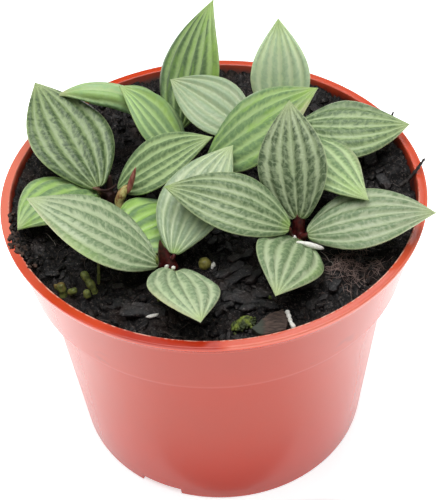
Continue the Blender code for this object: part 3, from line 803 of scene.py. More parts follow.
def add_strand(parts, line, radius, sides=5):
    """A thin tube that is drawn out at its ends."""
    rings = len(line)
    radii = [radius * min(1.0, 0.35 + 3.0 * min(i, rings - 1 - i) / rings) for i in range(rings)]
    add_tube(parts, line, radii, sides, (0.31, 0.17, 0.94))


def wandering(start, heading, length, curl, lift, rng):
    """A line over the mix that keeps changing its heading."""
    x, y = start
    turn = rng.uniform(-1, 1) * curl
    line = []
    pace = 0.45
    count = max(4, int(length / pace))
    for i in range(count):
        hop = lift * math.sin(math.pi * i / (count - 1))
        line.append(Vector((x, y, soil_top(x, y) + 0.25 + hop)))
        heading += turn * pace + rng.uniform(-1, 1) * curl * 0.5
        x += pace * math.cos(heading)
        y += pace * math.sin(heading)
        if math.hypot(x, y) > 55.0:
            break
    return line


def smoothed(line, rounds=2):
    for _ in range(rounds):
        inner = [(a + 2 * b + c) / 4 for a, b, c in zip(line, line[1:], line[2:])]
        line = [line[0]] + inner + [line[-1]]
    return line


def root_finish(name, dark, light):
    material, place = new_material(name)
    return finished(material, tint(speckle(place, 0.5), dark, light), 0.6, {})


rng = random.Random(8)


def scattered(count, spot, longest, curl, hop, thin, thick):
    """Fine roots, each begun where spot says."""
    parts = Parts()
    for i in range(count):
        start = spot()
        line = wandering(
            start, rng.uniform(0, 6.3), rng.uniform(*longest), curl, rng.uniform(0.0, hop), rng)
        if len(line) > 3:
            add_strand(parts, smoothed(line), rng.uniform(thin, thick), 4)
    return parts


def at_the_right():
    return rng.gauss(36.0, 3.6), rng.gauss(-30.0, 4.2)


tangle = scattered(170, at_the_right, (2.5, 8.0), 0.6, 1.0, 0.035, 0.075)
fibres = scattered(190, lambda: random_spot(rng, 53.0), (2.0, 7.0), 0.3, 0.7, 0.05, 0.10)
pale = Parts()
for start, heading, length, curl, hop, radius in (
    ((28.0, -23.0), -0.95, 8.5, 0.05, 0.5, 0.13),
    ((-48.0, -12.0), -0.3, 7.0, 0.16, 0.4, 0.08),
    ((41.0, -20.0), -0.9, 6.0, 0.08, 0.5, 0.08),
):
    add_strand(pale, smoothed(wandering(start, heading, length, curl, hop, rng)), radius)
for name, parts, finish, dark, light in (
    ("root_tangle", tangle, "pinkish root", (0.13, 0.088, 0.078), (0.50, 0.35, 0.30)),
    ("peat_fibres", fibres, "peat fibre", (0.035, 0.027, 0.024), (0.15, 0.115, 0.10)),
    ("pale_roots", pale, "pale root", (0.28, 0.24, 0.22), (0.45, 0.40, 0.36)),
):
    place_parts(name, parts, root_finish(finish, dark, light), "potting_mix")


# Leaf blades
# Thick, waxy blades, pointed at the tip. Five pale veins run from base to tip with raised dark
# bands between them, which thin pale cross veins break up. Each blade grows from its petiole.

# Name, shoot, base, heading (0 is +X, 90 the back), pitch at the base, its change to the tip,
# sweep, roll, length, width, fold, dome; then how yellow it is, its veins' and bands' lightness,
# which also holds painted light and shade for how each blade lies to the light
LEAVES = [
    ("leaf_front_left", "front", (-15.7, -28.2, 86.1), 168, 44.5, -28.5, -10.5, -5,
     39.4, 23.7, 7.5, 0.11, 0.03, 1.08, 1.17),
    ("leaf_front_back", "front", (-11.3, -27.5, 88.9), 59.5, 26, -13.5, -21, 2,
     36.6, 20.1, 12, 0.11, 0.0, 1.14, 1.83),
    ("leaf_front_low", "front", (-11.2, -31.8, 86.4), -75.5, 28, -21, 9, 15.5,
     27.6, 19.1, 8.5, 0.10, 0.0, 1.13, 1.42),
    ("leaf_young_low", "middle", (-8.6, -5.6, 84.3), -143, 12, -12.5, -18.5, 4.5,
     24.9, 23.8, 8.5, 0.10, 0.9, 1.0, 1.0),
    ("leaf_right_left", "right", (19.6, -23.7, 92.9), 164.5, 32.5, -36.5, -16.5, 13,
     35.7, 18.9, 13, 0.09, 0.16, 0.88, 0.74),
    ("leaf_right_upright", "right", (22.4, -18.4, 91.6), 92.5, 60, -26, -9, 19,
     31.9, 19.5, 12.5, 0.09, 0.12, 0.84, 0.42),
    ("leaf_right_out", "right", (24.7, -22.3, 88.8), -3, 23, -21.5, -11, -8.5,
     34.8, 19.9, 7.5, 0.11, 0.01, 0.92, 1.1),
    ("leaf_right_low", "right", (22.3, -22.6, 86.8), -106.5, 37.5, -43, -5, 18.5,
     30.5, 18.9, 4, 0.12, 0.03, 1.0, 0.99),
    ("leaf_left_upright", "left", (-32.6, 1.0, 88.6), 120, 32, -19.5, 5, -6.5,
     39.0, 24.7, 7.5, 0.12, 0.43, 0.7, 0.45),
    ("leaf_left_hooked", "left", (-33.5, 3.7, 83.9), -136, 51.5, -80, 7, 0,
     31.2, 22.9, 0, 0.15, 0.73, 0.91, 1.04),
    ("leaf_left_in", "left", (-27.1, 4.0, 84.6), 2.5, 39.5, -16, 0, -13,
     32.6, 18.0, 13, 0.10, 0.42, 0.99, 0.83),
    ("leaf_middle_curled", "middle", (-9.2, 17.1, 86.6), 154, 58.5, -23.5, 14, 8.5,
     26.6, 16.3, 11.5, 0.10, 0.53, 1.22, 1.69),
    ("leaf_back_arched", "back_left", (-14.4, 29.2, 89.8), 183.5, 72, -101, 8, -17.5,
     36.2, 19.4, -23, 0.09, 0.55, 0.93, 2.22),
    ("leaf_back_tall", "back_left", (-9.1, 29.8, 85.3), 58.5, 55, -1.5, -36, 13.5,
     39.5, 21.6, 3.5, 0.14, 0.63, 0.96, 0.66),
    ("leaf_middle_large", "middle", (-1.5, 6.7, 90.9), 0, 47.5, -18.5, 11.5, -14,
     39.9, 23.5, 3.5, 0.14, 0.67, 0.92, 1.13),
    ("leaf_back_right_upright", "back_right", (21.2, 24.3, 90.8), 92, 75, -8, 0.5, 7.5,
     30.9, 17.6, 12, 0.10, 0.0, 1.56, 2.9),
    ("leaf_back_right_out", "back_right", (25.1, 19.9, 92.0), -6.5, 7.5, -9.5, 27.5, -14,
     33.2, 20.8, 2, 0.13, 0.36, 0.88, 0.73),
    ("leaf_back_right_front", "back_right", (26.1, 13.1, 93.0), -65.5, 24.5, -35, 34, -1.5,
     37.3, 18.6, 4, 0.13, 0.26, 1.16, 1.2),
    ("leaf_back_right_left", "back_right", (11.2, 17.4, 91.2), 144.5, 33.5, -28, -10, 14.5,
     29.4, 19.1, 16.5, 0.07, 0.0, 0.95, 2.11),
]
RISE = 0.88
TAPER = 1.14
WIDEST = RISE / (RISE + TAPER)
OUTLINE_SCALE = WIDEST ** RISE * (1.0 - WIDEST) ** TAPER
BASE_ROUNDING = 0.16
VEIN_STEP = 0.18
BAND_RAISE = 0.70
LEAF_THICKNESS = 1.0
MARGIN_THICKNESS = 0.36
HEART = {
    "leaf_front_low": 6.5,
    "leaf_left_upright": 0.8,
    "leaf_right_upright": 2.5,
    "leaf_right_out": 1.0,
    "leaf_right_left": 1.0,
}
LEAF_ROWS = 72
LEAF_COLUMNS = 60

# Margins that curl down: the side, the share of the half width where the curl starts, its radius,
# how wide that side is beside the other near the base and beyond, and the share of the length
# where that changes
CURLED = {
    "leaf_back_arched": (-1.0, 0.42, 0.9, 0.82, 0.92, 0.5),
    "leaf_middle_curled": (1.0, 0.6, 2.4, 1.0, 1.3, 0.35),
}
STEEPEST_CURL = 1.65

# Where a blade strays from its own colour: place across and along it, how far that reaches each
# way, then how yellow-green, how deep a green in painted shade, and how cream it is there
PATCHES_AND_SHADE = {
    "leaf_front_left": [(-1.0, 0.58, 0.2, 0.2, 0.5, 0, 0), (-1.0, 0.8, 0.07, 0.2, 0, 0, 0.45)],
    "leaf_front_back": [(0.1, 0.0, 0.6, 0.06, 0.6, 0, 0)],
    "leaf_front_low": [(1.0, 0.75, 0.12, 0.25, 0.2, 0, 0.5), (0, 1, 1, 0.06, 0.5, 0, 0.2)],
    "leaf_right_left": [(0, 0, 1, 0.07, 0.7, 0, 0), (0, 1, 1, 0.06, 0.6, 0, 0)],
    "leaf_right_low": [(-0.9, 0.6, 0.2, 0.25, 0.25, 0, 0), (0, 1, 1, 0.06, 0.3, 0, 0.3)],
    "leaf_middle_curled": [(0.42, 0.45, 0.16, 0.4, 0.8, 0, 0), (0.92, 0.5, 0.25, 0.5, 0, 0.7, 0)],
    "leaf_back_arched": [(-0.62, 0.6, 0.14, 0.4, 0.6, 0, 0), (-1.05, 0.6, 0.3, 0.6, 0, 1.0, 0),
                         (0, 1, 1, 0.09, 0, 0, 0.8)],
    "leaf_back_tall": [(0.9, 0.5, 0.22, 0.5, 0.6, 0, 0), (-0.65, 0.35, 0.45, 0.45, 0, 0.45, 0)],
    "leaf_middle_large": [(0.5, 0.8, 0.2, 0.05, 0, 0, 0.5), (0.95, 0.86, 0.25, 0.07, 0, 0, 0.7),
                          (0, 1, 1, 0.07, 0.7, 0, 0)],
    "leaf_back_right_upright": [(0, 1, 1, 0.1, 0.6, 0, 0), (-0.95, 0.3, 0.12, 0.2, 0.1, 0, 0.4)],
    "leaf_back_right_out": [(-0.75, 0.5, 0.14, 0.4, 0, 0.6, 0)],
    "leaf_back_right_front": [(-0.95, 0.6, 0.12, 0.35, 0.3, 0, 0.35),
                              (0.2, 0.9, 0.6, 0.15, 0.4, 0, 0)],
}

# How smooth a blade's stripes are; the others are 0
SMOOTH = {
    "leaf_back_tall": 0.9,
    "leaf_back_right_upright": 0.4,
    "leaf_middle_curled": 0.9,
    "leaf_back_arched": 0.5,
    "leaf_middle_large": 0.35,
    "leaf_young_low": 0.8,
    "leaf_back_right_front": 0.4,
    "leaf_left_in": 0.4,
    "leaf_left_hooked": 0.4,
    "leaf_front_back": 0.3,
    "leaf_right_low": 0.3,
}


class Blade:
    """One leaf's middle line and its sizes."""

    def __init__(self, row, number):
        (self.name, self.shoot, base, self.heading, self.pitch, self.bend, self.sweep, roll,
         self.length, self.width, fold, self.dome, *self.tone) = row
        self.base = Vector(base)
        self.roll = math.radians(roll)
        self.fold = math.radians(fold)
        self.number = number

    def direction(self, s):
        heading = math.radians(self.heading + self.sweep * (s - 0.5))
        pitch = math.radians(self.pitch + self.bend * s)
        return Vector((
            math.cos(heading) * math.cos(pitch),
            math.sin(heading) * math.cos(pitch),
            math.sin(pitch),
        ))

    def frame(self, s):
        """The middle line's point at a share s of the length, with forward, side and normal."""
        point = self.base.copy()
        for i in range(60):
            point += self.direction((i + 0.5) * s / 60) * (self.length * s / 60)
        forward = self.direction(s)
        heading = math.radians(self.heading + self.sweep * (s - 0.5))
        level = Vector((math.sin(heading), -math.cos(heading), 0.0))
        rise = level.cross(forward)
        side = level * math.cos(self.roll) + rise * math.sin(self.roll)
        normal = rise * math.cos(self.roll) - level * math.sin(self.roll)
        return point, forward, side, normal

    def half_width(self, s):
        share = s ** RISE * (1.0 - s) ** TAPER / OUTLINE_SCALE
        share += BASE_ROUNDING * math.sqrt(s / 0.03) * math.exp(-s / 0.03)
        return 0.5 * self.width * share

    def sheet_height(self, s, u):
        """How far the blade's middle layer stands over the middle line."""
        half = self.half_width(s)
        return abs(half * u) * math.sin(self.fold) - self.dome * half * u * u

    def relief(self, s, u):
        """Bands stand up between the veins, and the blade waves a little."""
        turn = (abs(u) / VEIN_STEP) % 2.0
        band = 0.5 - 0.5 * math.cos(math.pi * min(turn, 2.0 - turn))
        room = min(1.0, self.half_width(s) / (0.3 * self.width))
        keep = 1.0 - max(0.0, abs(u) - 0.85) / 0.15 * 0.5
        place = Vector((u * 2.2, s * 4.0, self.number * 3.7))
        wave = 0.28 * noise.noise(place) * abs(u)
        return BAND_RAISE * band * room * keep + wave * room


def patches_and_shade(blade, s, u):
    found = [0.0, 0.0, 0.0]
    for across, along, wide, long, *amounts in PATCHES_AND_SHADE.get(blade.name, []):
        near = math.exp(-((u - across) / wide) ** 2 - ((s - along) / long) ** 2)
        found = [max(a, near * b) for a, b in zip(found, amounts)]
    return found


def place_across(blade, s, u, half):
    """How far sideways and up the blade's middle layer is, and how far its margin is bent."""
    if blade.name not in CURLED or u * CURLED[blade.name][0] <= 0.0:
        return half * u * math.cos(blade.fold), blade.sheet_height(s, u), 0.0
    side, start, radius, narrow, broad, begins = CURLED[blade.name]
    outer = min(1.0, max(0.0, (s - begins) / 0.25))
    share = abs(u) * (narrow + (broad - narrow) * outer * outer * (3.0 - 2.0 * outer))
    flat = min(share, start)
    beyond = half * (share - flat)
    bent = min(beyond / radius, STEEPEST_CURL)
    hanging = beyond - radius * bent
    sideways = side * (half * flat + radius * math.sin(bent) + hanging * math.cos(bent))
    height = blade.sheet_height(s, flat) - radius * (1.0 - math.cos(bent))
    return sideways, height - hanging * math.sin(bent), side * bent


def blade_mesh(blade, materials):
    """Top and underside, joined round a thin margin; it keeps each point's place on the blade."""
    rows = [0.004 + 0.996 * (0.5 - 0.5 * math.cos(math.pi * (0.06 + 0.94 * j / LEAF_ROWS)))
            for j in range(LEAF_ROWS + 1)]
    first = rows[0]
    rows = [0.006 + (s - first) / (1.0 - first) * 0.993 for s in rows]
    columns = [math.sin(0.5 * math.pi * (2.0 * i / LEAF_COLUMNS - 1.0) * 0.86)
               for i in range(LEAF_COLUMNS + 1)]
    columns = [u / columns[-1] for u in columns]
    points = []
    kept = {"leaf_lines": [], "leaf_spot": [], "leaf_tone": [], "leaf_patches_and_shade": []}
    for above in (1.0, -1.0):
        for s in rows:
            point, forward, side, normal = blade.frame(s)
            half = blade.half_width(s)
            shrink = min(1.0, 0.45 + half / 2.0)
            for u in columns:
                edge = 1.0 - abs(u) ** 3.0
                thick = MARGIN_THICKNESS + (LEAF_THICKNESS - MARGIN_THICKNESS) * edge
                thick = 0.5 * thick * shrink
                if above > 0.0:
                    lift = blade.relief(s, u) + thick
                else:
                    keel = math.exp(-(u * half / 0.55) ** 2) * 0.35 * (1.0 - s)
                    lift = 0.8 * blade.relief(s, u) - thick - keel
                sideways, height, bent = place_across(blade, s, u, half)
                outward = normal * math.cos(bent) + side * math.sin(bent)
                place = point + side * sideways + normal * height + outward * lift
                lobe = HEART.get(blade.name, 0.0) * max(0.0, 1.0 - s / 0.35) ** 2
                place -= forward * lobe * (1.0 - math.exp(-(half * u / 2.4) ** 2))
                points.append(place[:])
                kept["leaf_lines"].append((u, s, SMOOTH.get(blade.name, 0.0)))
                kept["leaf_spot"].append((u * half, s * blade.length, blade.number * 37.0))
                kept["leaf_tone"].append(blade.tone)
                kept["leaf_patches_and_shade"].append(patches_and_shade(blade, s, u))
    row = len(columns)
    below = len(rows) * row
    faces = []
    for left in range(0, below - row, row):
        right = left + row - 1
        for corner in range(left, right):
            faces.append((corner, corner + 1, corner + row + 1, corner + row))
            under = corner + below
            faces.append((under + row, under + row + 1, under + 1, under))
        faces.append((left, left + row, left + row + below, left + below))
        faces.append((right + row, right, right + below, right + row + below))
    for i in range(row - 1):
        faces.append((i + 1, i, i + below, i + 1 + below))
        tip = below - row + i
        faces.append((tip, tip + 1, tip + 1 + below, tip + below))
    piece = add_piece(blade.name + "_blade", points, faces, materials)
    for face in piece.data.polygons:
        if all(index >= below for index in face.vertices):
            face.material_index = 1
    for label, values in kept.items():
        attribute = piece.data.attributes.new(label, "FLOAT_VECTOR", "POINT")
        attribute.data.foreach_set("vector", np.asarray(values, np.float32).ravel())
    return piece


# Stripes: masks for the dark bands, the pale veins and the margin, from a point's place on a blade
STRIPES, given, made = new_group(
    "leaf stripes",
    {"Lines": "Vector", "Spot": "Vector"},
    dict.fromkeys(("Band", "Vein", "Edge", "Tip", "Base", "Height"), "Float"),
)
spot = given["Spot"]
across, along, smooth = axes(given["Lines"])
out, up_blade, leaf = axes(spot)
out = maths("ABSOLUTE", out)
swayed = maths("ABSOLUTE", across + (speckle(spot, 0.22) - 0.5) * 0.07)
from_vein = maths("PINGPONG", swayed, VEIN_STEP) / VEIN_STEP
vein = step(from_vein, 0.0, 0.36, 1.0, 0.0)
rough = 1.0 - smooth * 0.8

# A band's edges are feathered aslant, and it is mottled
slant = up_blade - out * 0.75
feathers = put(STRIPES, "CombineXYZ", {"X": out * 0.8, "Y": slant * 2.1, "Z": leaf})
feather = speckle(feathers, 0.5) - 0.5
patch = speckle(stretched(feathers, 1, 0.5, 1), 0.45) - 0.5
dots = speckle(spot, 2.2, 3.0, 0.7) - 0.5
ragged = feather * 0.5 + patch * 1.4 + dots * 0.4
ragged = ragged * step(along, 0.0, 0.30, 0.35, 1.0) * rough
ragged = ragged + step(along, 0.0, 1.0, 0.20, -0.18)
cloudy = step(speckle(spot, 1.1, 3.0, 0.6), 0.40, 0.68, 0.0, 0.45)
band = step(from_vein + ragged, 0.20, 0.72) * (1.0 - cloudy * rough)

# Cross veins break it up, and it ends before the tip and the margin
beat = maths("PINGPONG", slant / 2.3 + speckle(spot, 0.5) * 1.6, 0.5)
cross = step(beat, 0.0, 0.22, 1.0, 0.0) * rough
tip = step(along, 0.82, 0.98)
edge = step(maths("ABSOLUTE", across), 0.965, 1.0)
band = band * (1.0 - cross * 0.4) * ((1.0 - tip) * (1.0 - edge * 0.7))
feed(made, {
    "Band": band, "Vein": vein, "Edge": edge, "Tip": tip,
    "Base": step(along, 0.01, 0.10, 1.0, 0.0),
    "Height": speckle(spot, 3.2, 2.0, 0.6) * 0.35 - cross * 0.5 - vein * 0.15,
})


def read(material, label):
    """What a mesh keeps under a label at each of its points."""
    return put(material.node_tree, "Attribute", output="Vector", attribute_name=label)


def striped(name):
    """A material, the place on its blade in millimetres and the blade's stripes."""
    material = bpy.data.materials.new(name)
    material.use_nodes = True
    spot = read(material, "leaf_spot")
    lines = read(material, "leaf_lines")
    return material, spot, use_group(spot.tree, STRIPES, {"Lines": lines, "Spot": spot})


def scaled(colour, factor):
    """A colour made lighter or darker."""
    return put(factor.tree, "VectorMath", {0: colour, "Scale": factor}, operation="SCALE")


def striped_leaf():
    """The blade's upper side; a leaf's tone is its yellowness and its veins' and bands' lightness,
    partly painted light and shade.
    """
    material, spot, stripes = striped("striped leaf")
    yellow, vein_light, band_light = axes(read(material, "leaf_tone"))
    pale = tint(yellow, (0.475, 0.545, 0.350), (0.41, 0.66, 0.16))
    pale = tint(step(speckle(spot, 0.13, 3.0), 0.35, 0.7, 0.0, 0.4), pale, (0.37, 0.50, 0.24))
    dark = tint(step(band_light, 0.4, 1.9), (0.136, 0.232, 0.085), (0.160, 0.216, 0.132))
    dark = tint(yellow, dark, (0.136, 0.255, 0.096))
    colour = tint(stripes["Band"], scaled(pale, vein_light), scaled(dark, band_light))
    colour = tint(stripes["Vein"] * 0.2, colour, scaled((0.54, 0.64, 0.42), vein_light))
    fresh = maths("MAXIMUM", stripes["Edge"] * 0.6, stripes["Tip"])
    colour = tint(fresh * 0.5, colour, (0.48, 0.58, 0.26))
    colour = tint(stripes["Base"] * 0.3, colour, (0.26, 0.34, 0.09))

    # Young blades have bright streaks along them; some blades are blotched, and painted shade
    # darkens parts of some deep green
    streak = step(speckle(stretched(spot, 1, 0.22, 1), 0.42), 0.50, 0.62, 0.0, 0.6)
    streak = streak * step(yellow, 0.45, 0.75)
    colour = tint(streak, colour, scaled((0.34, 0.58, 0.09), vein_light))
    blotchy = step(speckle(spot, 0.6, 3.0), 0.30, 0.60, 0.5, 1.0)
    shades = ((0.34, 0.54, 0.09), (0.04, 0.095, 0.022), (0.64, 0.58, 0.36))
    for amount, shade in zip(axes(read(material, "leaf_patches_and_shade")), shades):
        colour = tint(amount * blotchy, colour, shade)
    fine = step(speckle(spot, 2.4, 3.0, 0.7), 0.35, 0.75, 0.0, 0.2)
    colour = tint(fine, colour, scaled((0.20, 0.28, 0.16), band_light))
    relief = {"Height": stripes["Height"], "Distance": 0.00013, "Strength": 0.8}
    bump = put(spot.tree, "Bump", relief)
    return finished(material, colour, stripes["Band"] * 0.08 + 0.40, {"Normal": bump})


def leaf_underside():
    """Pale dull green with the five veins a little pinker."""
    material, spot, stripes = striped("leaf underside")
    colour = tint(speckle(spot, 0.2, 3.0), (0.22, 0.30, 0.14), (0.29, 0.37, 0.19))
    colour = tint(stripes["Vein"] * 0.6, colour, (0.36, 0.26, 0.17))
    relief = {"Height": stripes["Height"], "Distance": 0.0001, "Strength": 0.6}
    return finished(material, colour, 0.55, {"Normal": put(spot.tree, "Bump", relief)})


YOUNG = {
    "leaf_young_low", "leaf_middle_curled", "leaf_back_tall", "leaf_middle_large",
    "leaf_back_right_front",
}
leaf_finishes = [striped_leaf(), leaf_underside()]
blades = [Blade(row, number) for number, row in enumerate(LEAVES)]
for blade in blades:
    piece = blade_mesh(blade, leaf_finishes)
    fit(piece, "young_leaf" if blade.name in YOUNG else "striped_leaf", blade.name)


# Shoots
# Each shoot is a short stout stem, maroon and slightly waxy, from which three or four petioles
# part. A petiole thins towards its blade and runs on under it as the midrib.

SHOOTS = [
    ("front", (-13.3, -25.8), (-13.1, -26.4, 85.0), 1.8),
    ("right", (22.5, -19.2), (22.4, -19.8, 86.4), 2.0),
    ("left", (-29.8, 2.8), (-30.0, 2.6, 84.2), 1.7),
    ("back_left", (-12.4, 27.6), (-12.4, 27.8, 84.6), 1.6),
    ("middle", (-4.6, 6.2), (-4.7, 6.4, 85.8), 1.6),
    ("back_right", (20.6, 18.4), (20.7, 18.6, 86.8), 1.7),
]
PETIOLE_RADIUS = 1.0
STOUTNESS = {
    "leaf_right_upright": 1.75,
    "leaf_right_left": 0.6,
    "leaf_right_out": 0.8,
    "leaf_left_upright": 0.7,
    "leaf_left_in": 0.6,
    "leaf_left_hooked": 0.6,
    "leaf_front_left": 0.7,
    "leaf_front_back": 0.55,
    "leaf_front_low": 0.7,
}

# Petioles that leave the stem low down, below its node
LOW_JOINTS = {
    "leaf_right_left": (21.0, -21.8, 84.6),
    "leaf_front_left": (-14.0, -27.0, 84.2),
}

# How much stouter than its middle a petiole is at each of its points
SWELL = [1.45, 1.35, 1.2, 1.1, 1.05, *[1.0] * 8, 0.62, 0.3]

# Buds and ends on two of the shoots: the corners of a curve, and the radii along it
GROWTHS = {
    "front": [
        ([(-14.0, -27.0, 84.0), (-14.3, -26.3, 87.2), (-14.6, -26.2, 90.5), (-14.7, -26.6, 93.8)],
         [1.6, 1.6, 1.55, 1.45, 1.3, 1.1, 0.9, 0.7, 0.45, 0.2]),
        ([(-12.0, -28.2, 84.2), (-12.7, -27.4, 86.6), (-13.4, -26.6, 89.0), (-14.2, -26.2, 91.0)],
         [1.9, 1.8, 1.6, 1.35, 1.1, 0.85, 0.6, 0.3]),
    ],
    "left": [
        ([(-35.9, 1.6, 89.5), (-32.4, 0.0, 89.2), (-30.6, -1.2, 87.4), (-27.4, 3.4, 87.6)],
         [0.62 - 0.02 * i for i in range(20)]),
    ],
}
STUB = [(-29.6, 3.4, 84.6), (-29.4, 4.4, 87.0), (-29.2, 5.0, 89.6)]


def bezier(corners, count):
    a, b, c, d = [Vector(corner) for corner in corners]
    line = []
    for i in range(count):
        t = i / (count - 1)
        r = 1.0 - t
        line.append(a * r ** 3 + b * (3 * r * r * t) + c * (3 * r * t * t) + d * t ** 3)
    return line


def petiole_line(node, blade, stout):
    point, forward, _, normal = blade.frame(0.02)
    sink = 0.35 + 1.3 * max(0.0, stout - 0.8)
    end = point - forward * 0.3 - normal * (0.6 * sink)
    straight = end - forward * 0.6
    reach = (end - node).length
    outward = Vector((end.x - node.x, end.y - node.y, 0.0)).normalized()
    start = node - Vector((0.0, 0.0, 1.2)) + outward * 0.3
    first = start + Vector((0.0, 0.0, 0.42 * reach)) + outward * (0.10 * reach)
    along = 0.35
    if blade.name in LOW_JOINTS:
        start = Vector(LOW_JOINTS[blade.name])
        first = start.lerp(straight, 0.4)
        along = 0.05
    line = bezier((start, first, straight - forward * (along * reach), straight), 12)
    under = point + forward * 1.4 - normal * sink
    return line + [end, under, under + forward * 2.2 - normal * 0.15]


def fuse(piece, grain_size, rounds):
    """Melt overlapping tubes into one skin."""
    remesh = piece.modifiers.new("skin", "REMESH")
    remesh.mode = "VOXEL"
    remesh.voxel_size = grain_size * MM
    soften = piece.modifiers.new("soften", "SMOOTH")
    soften.factor = 0.5
    soften.iterations = rounds
    freeze(piece)
    piece.data.shade_smooth()


def maroon_stem():
    material, place = new_material("maroon stem")
    east = axes(place)[0]
    grain = grained(place, 1.2, 0.00008)
    shade = step(grain["Coarse"], 0.35, 0.65)
    colour = tint(shade, (0.032, 0.0045, 0.005), (0.092, 0.013, 0.012))
    worn = step(speckle(place, 0.28), 0.52, 0.70, 0.0, 0.25)
    colour = tint(worn, colour, (0.17, 0.070, 0.045))
    # Painted shade darkens the left shoot's petioles and makes them matte
    left_shade = step(east, -26.5, -23.5, 0.75, 0.0) * step(east, -32.6, -31.2, 0.1, 1.0)
    colour = tint(left_shade, colour, (0.016, 0.009, 0.008))
    colour = tint(step(east, -34.0, -31.0, 0.9, 0.0), colour, (0.22, 0.125, 0.075))
    waxy = {"Normal": grain["Normal"], "Specular IOR Level": 0.32}
    return finished(material, colour, grain["Fine"] * 0.14 + 0.24 + left_shade * 0.4, waxy)


MAROON = maroon_stem()
for name, foot, node, radius in SHOOTS:
    parts = Parts()
    node = Vector(node)
    stem = [(*foot, 72.5), (*foot, 81.0), node - Vector((0, 0, 1.2)), node + Vector((0, 0, 0.8))]
    add_tube(parts, stem, [radius * 0.8, radius, radius * 1.1, radius * 0.7])
    for blade in blades:
        if blade.shoot == name:
            stout = STOUTNESS.get(blade.name, 1.0)
            line = petiole_line(node, blade, stout)
            add_tube(parts, line, [PETIOLE_RADIUS * stout * s for s in SWELL])
    for corners, radii in GROWTHS.get(name, []):
        add_tube(parts, bezier(corners, len(radii)), radii)
    if name == "left":
        add_tube(parts, STUB, [1.0, 0.95, 0.55])
    shoot = place_parts("shoot_" + name + "_skin", parts, MAROON, "maroon_stem", "shoot_" + name)
    fuse(shoot, 0.2, 3)


# Young shoot
# A new shoot stands beside the left one: an olive sheath from which the next leaf, still rolled
# up and red, comes out as a point.

SHEATH_LINE = [
    (-27.2, -3.2, 72.5),
    (-27.1, -3.3, 80.0),
    (-26.7, -3.3, 84.2),
    (-26.6, -2.5, 86.3),
    (-25.7, -2.0, 88.4),
    (-24.8, -1.4, 89.9),
    (-24.1, -1.2, 91.0),
]
POINT_LINE = [
    (-24.3, -1.7, 88.6),
    (-23.5, -1.3, 89.9),
    (-22.8, -0.8, 91.8),
    (-22.0, -0.4, 94.0),
    (-21.2, 0.0, 96.3),
]


def spline(line, count):
    """A smooth line through all the points."""
    line = [Vector(spot) for spot in line]
    result = []
    spans = len(line) - 1
    for i in range(count):
        t = spans * i / (count - 1)
        k = min(int(t), spans - 1)
        f = t - k
        a, b = line[max(k - 1, 0)], line[k]
        c, d = line[k + 1], line[min(k + 2, spans)]
        result.append(0.5 * (
            2 * b + (c - a) * f + (2 * a - 5 * b + 4 * c - d) * f ** 2
            + (3 * b - a - 3 * c + d) * f ** 3))
    return result


def tapered(line, count, widths):
    """A smooth line through points, with a radius read off at each of its own points."""
    radii = []
    for i in range(count):
        t = (len(widths) - 1) * i / (count - 1)
        k = min(int(t), len(widths) - 2)
        radii.append(widths[k] + (widths[k + 1] - widths[k]) * (t - k))
    return spline(line, count), radii


def olive_sheath():
    material, place = new_material("olive sheath")
    x, y, z = axes(place)
    grain = grained(place, 1.1, 0.00006)
    colour = tint(step(grain["Coarse"], 0.34, 0.52), (0.26, 0.13, 0.04), (0.54, 0.48, 0.18))
    flank = x - (z - 86.0) * 0.45
    reddish = step(flank, -28.0, -27.3, 1.0, 0.0) * step(z, 86.5, 88.0)
    colour = tint(reddish * 0.6, colour, (0.32, 0.09, 0.06))
    return finished(material, colour, grain["Fine"] * 0.15 + 0.38, {"Normal": grain["Normal"]})


def red_point():
    material, place = new_material("rolled red leaf")
    grain = grained(stretched(place, 1, 1, 0.3), 0.7, 0.00006)
    colour = tint(step(grain["Coarse"], 0.35, 0.65), (0.24, 0.055, 0.045), (0.42, 0.15, 0.12))
    return finished(material, colour, grain["Fine"] * 0.15 + 0.34, {"Normal": grain["Normal"]})


parts = Parts()
add_tube(parts, *tapered(SHEATH_LINE, 40, [1.0, 1.0, 1.15, 1.32, 1.40, 0.95, 0.25]), 20)
place_parts("young_shoot_sheath", parts, olive_sheath(), "young_stem", "young_shoot")
parts = Parts()
add_tube(parts, *tapered(POINT_LINE, 28, [0.45, 0.82, 0.86, 0.68, 0.12]), 16)
place_parts("young_shoot_point", parts, red_point(), "young_stem")


# Sprouts
# Stubby olive buds push up in two groups near the front left of the pot, with a thin one behind.


def olive_bud():
    material, place = new_material("olive bud")
    grain = grained(place, 0.9, 0.0001)
    shade = step(grain["Coarse"], 0.35, 0.65)
    colour = tint(shade, (0.095, 0.115, 0.028), (0.25, 0.29, 0.075))
    rusty = step(speckle(place, 0.30), 0.56, 0.68)
    colour = tint(rusty * 0.6, colour, (0.26, 0.13, 0.04))
    return finished(material, colour, 0.5, {"Normal": grain["Normal"]})


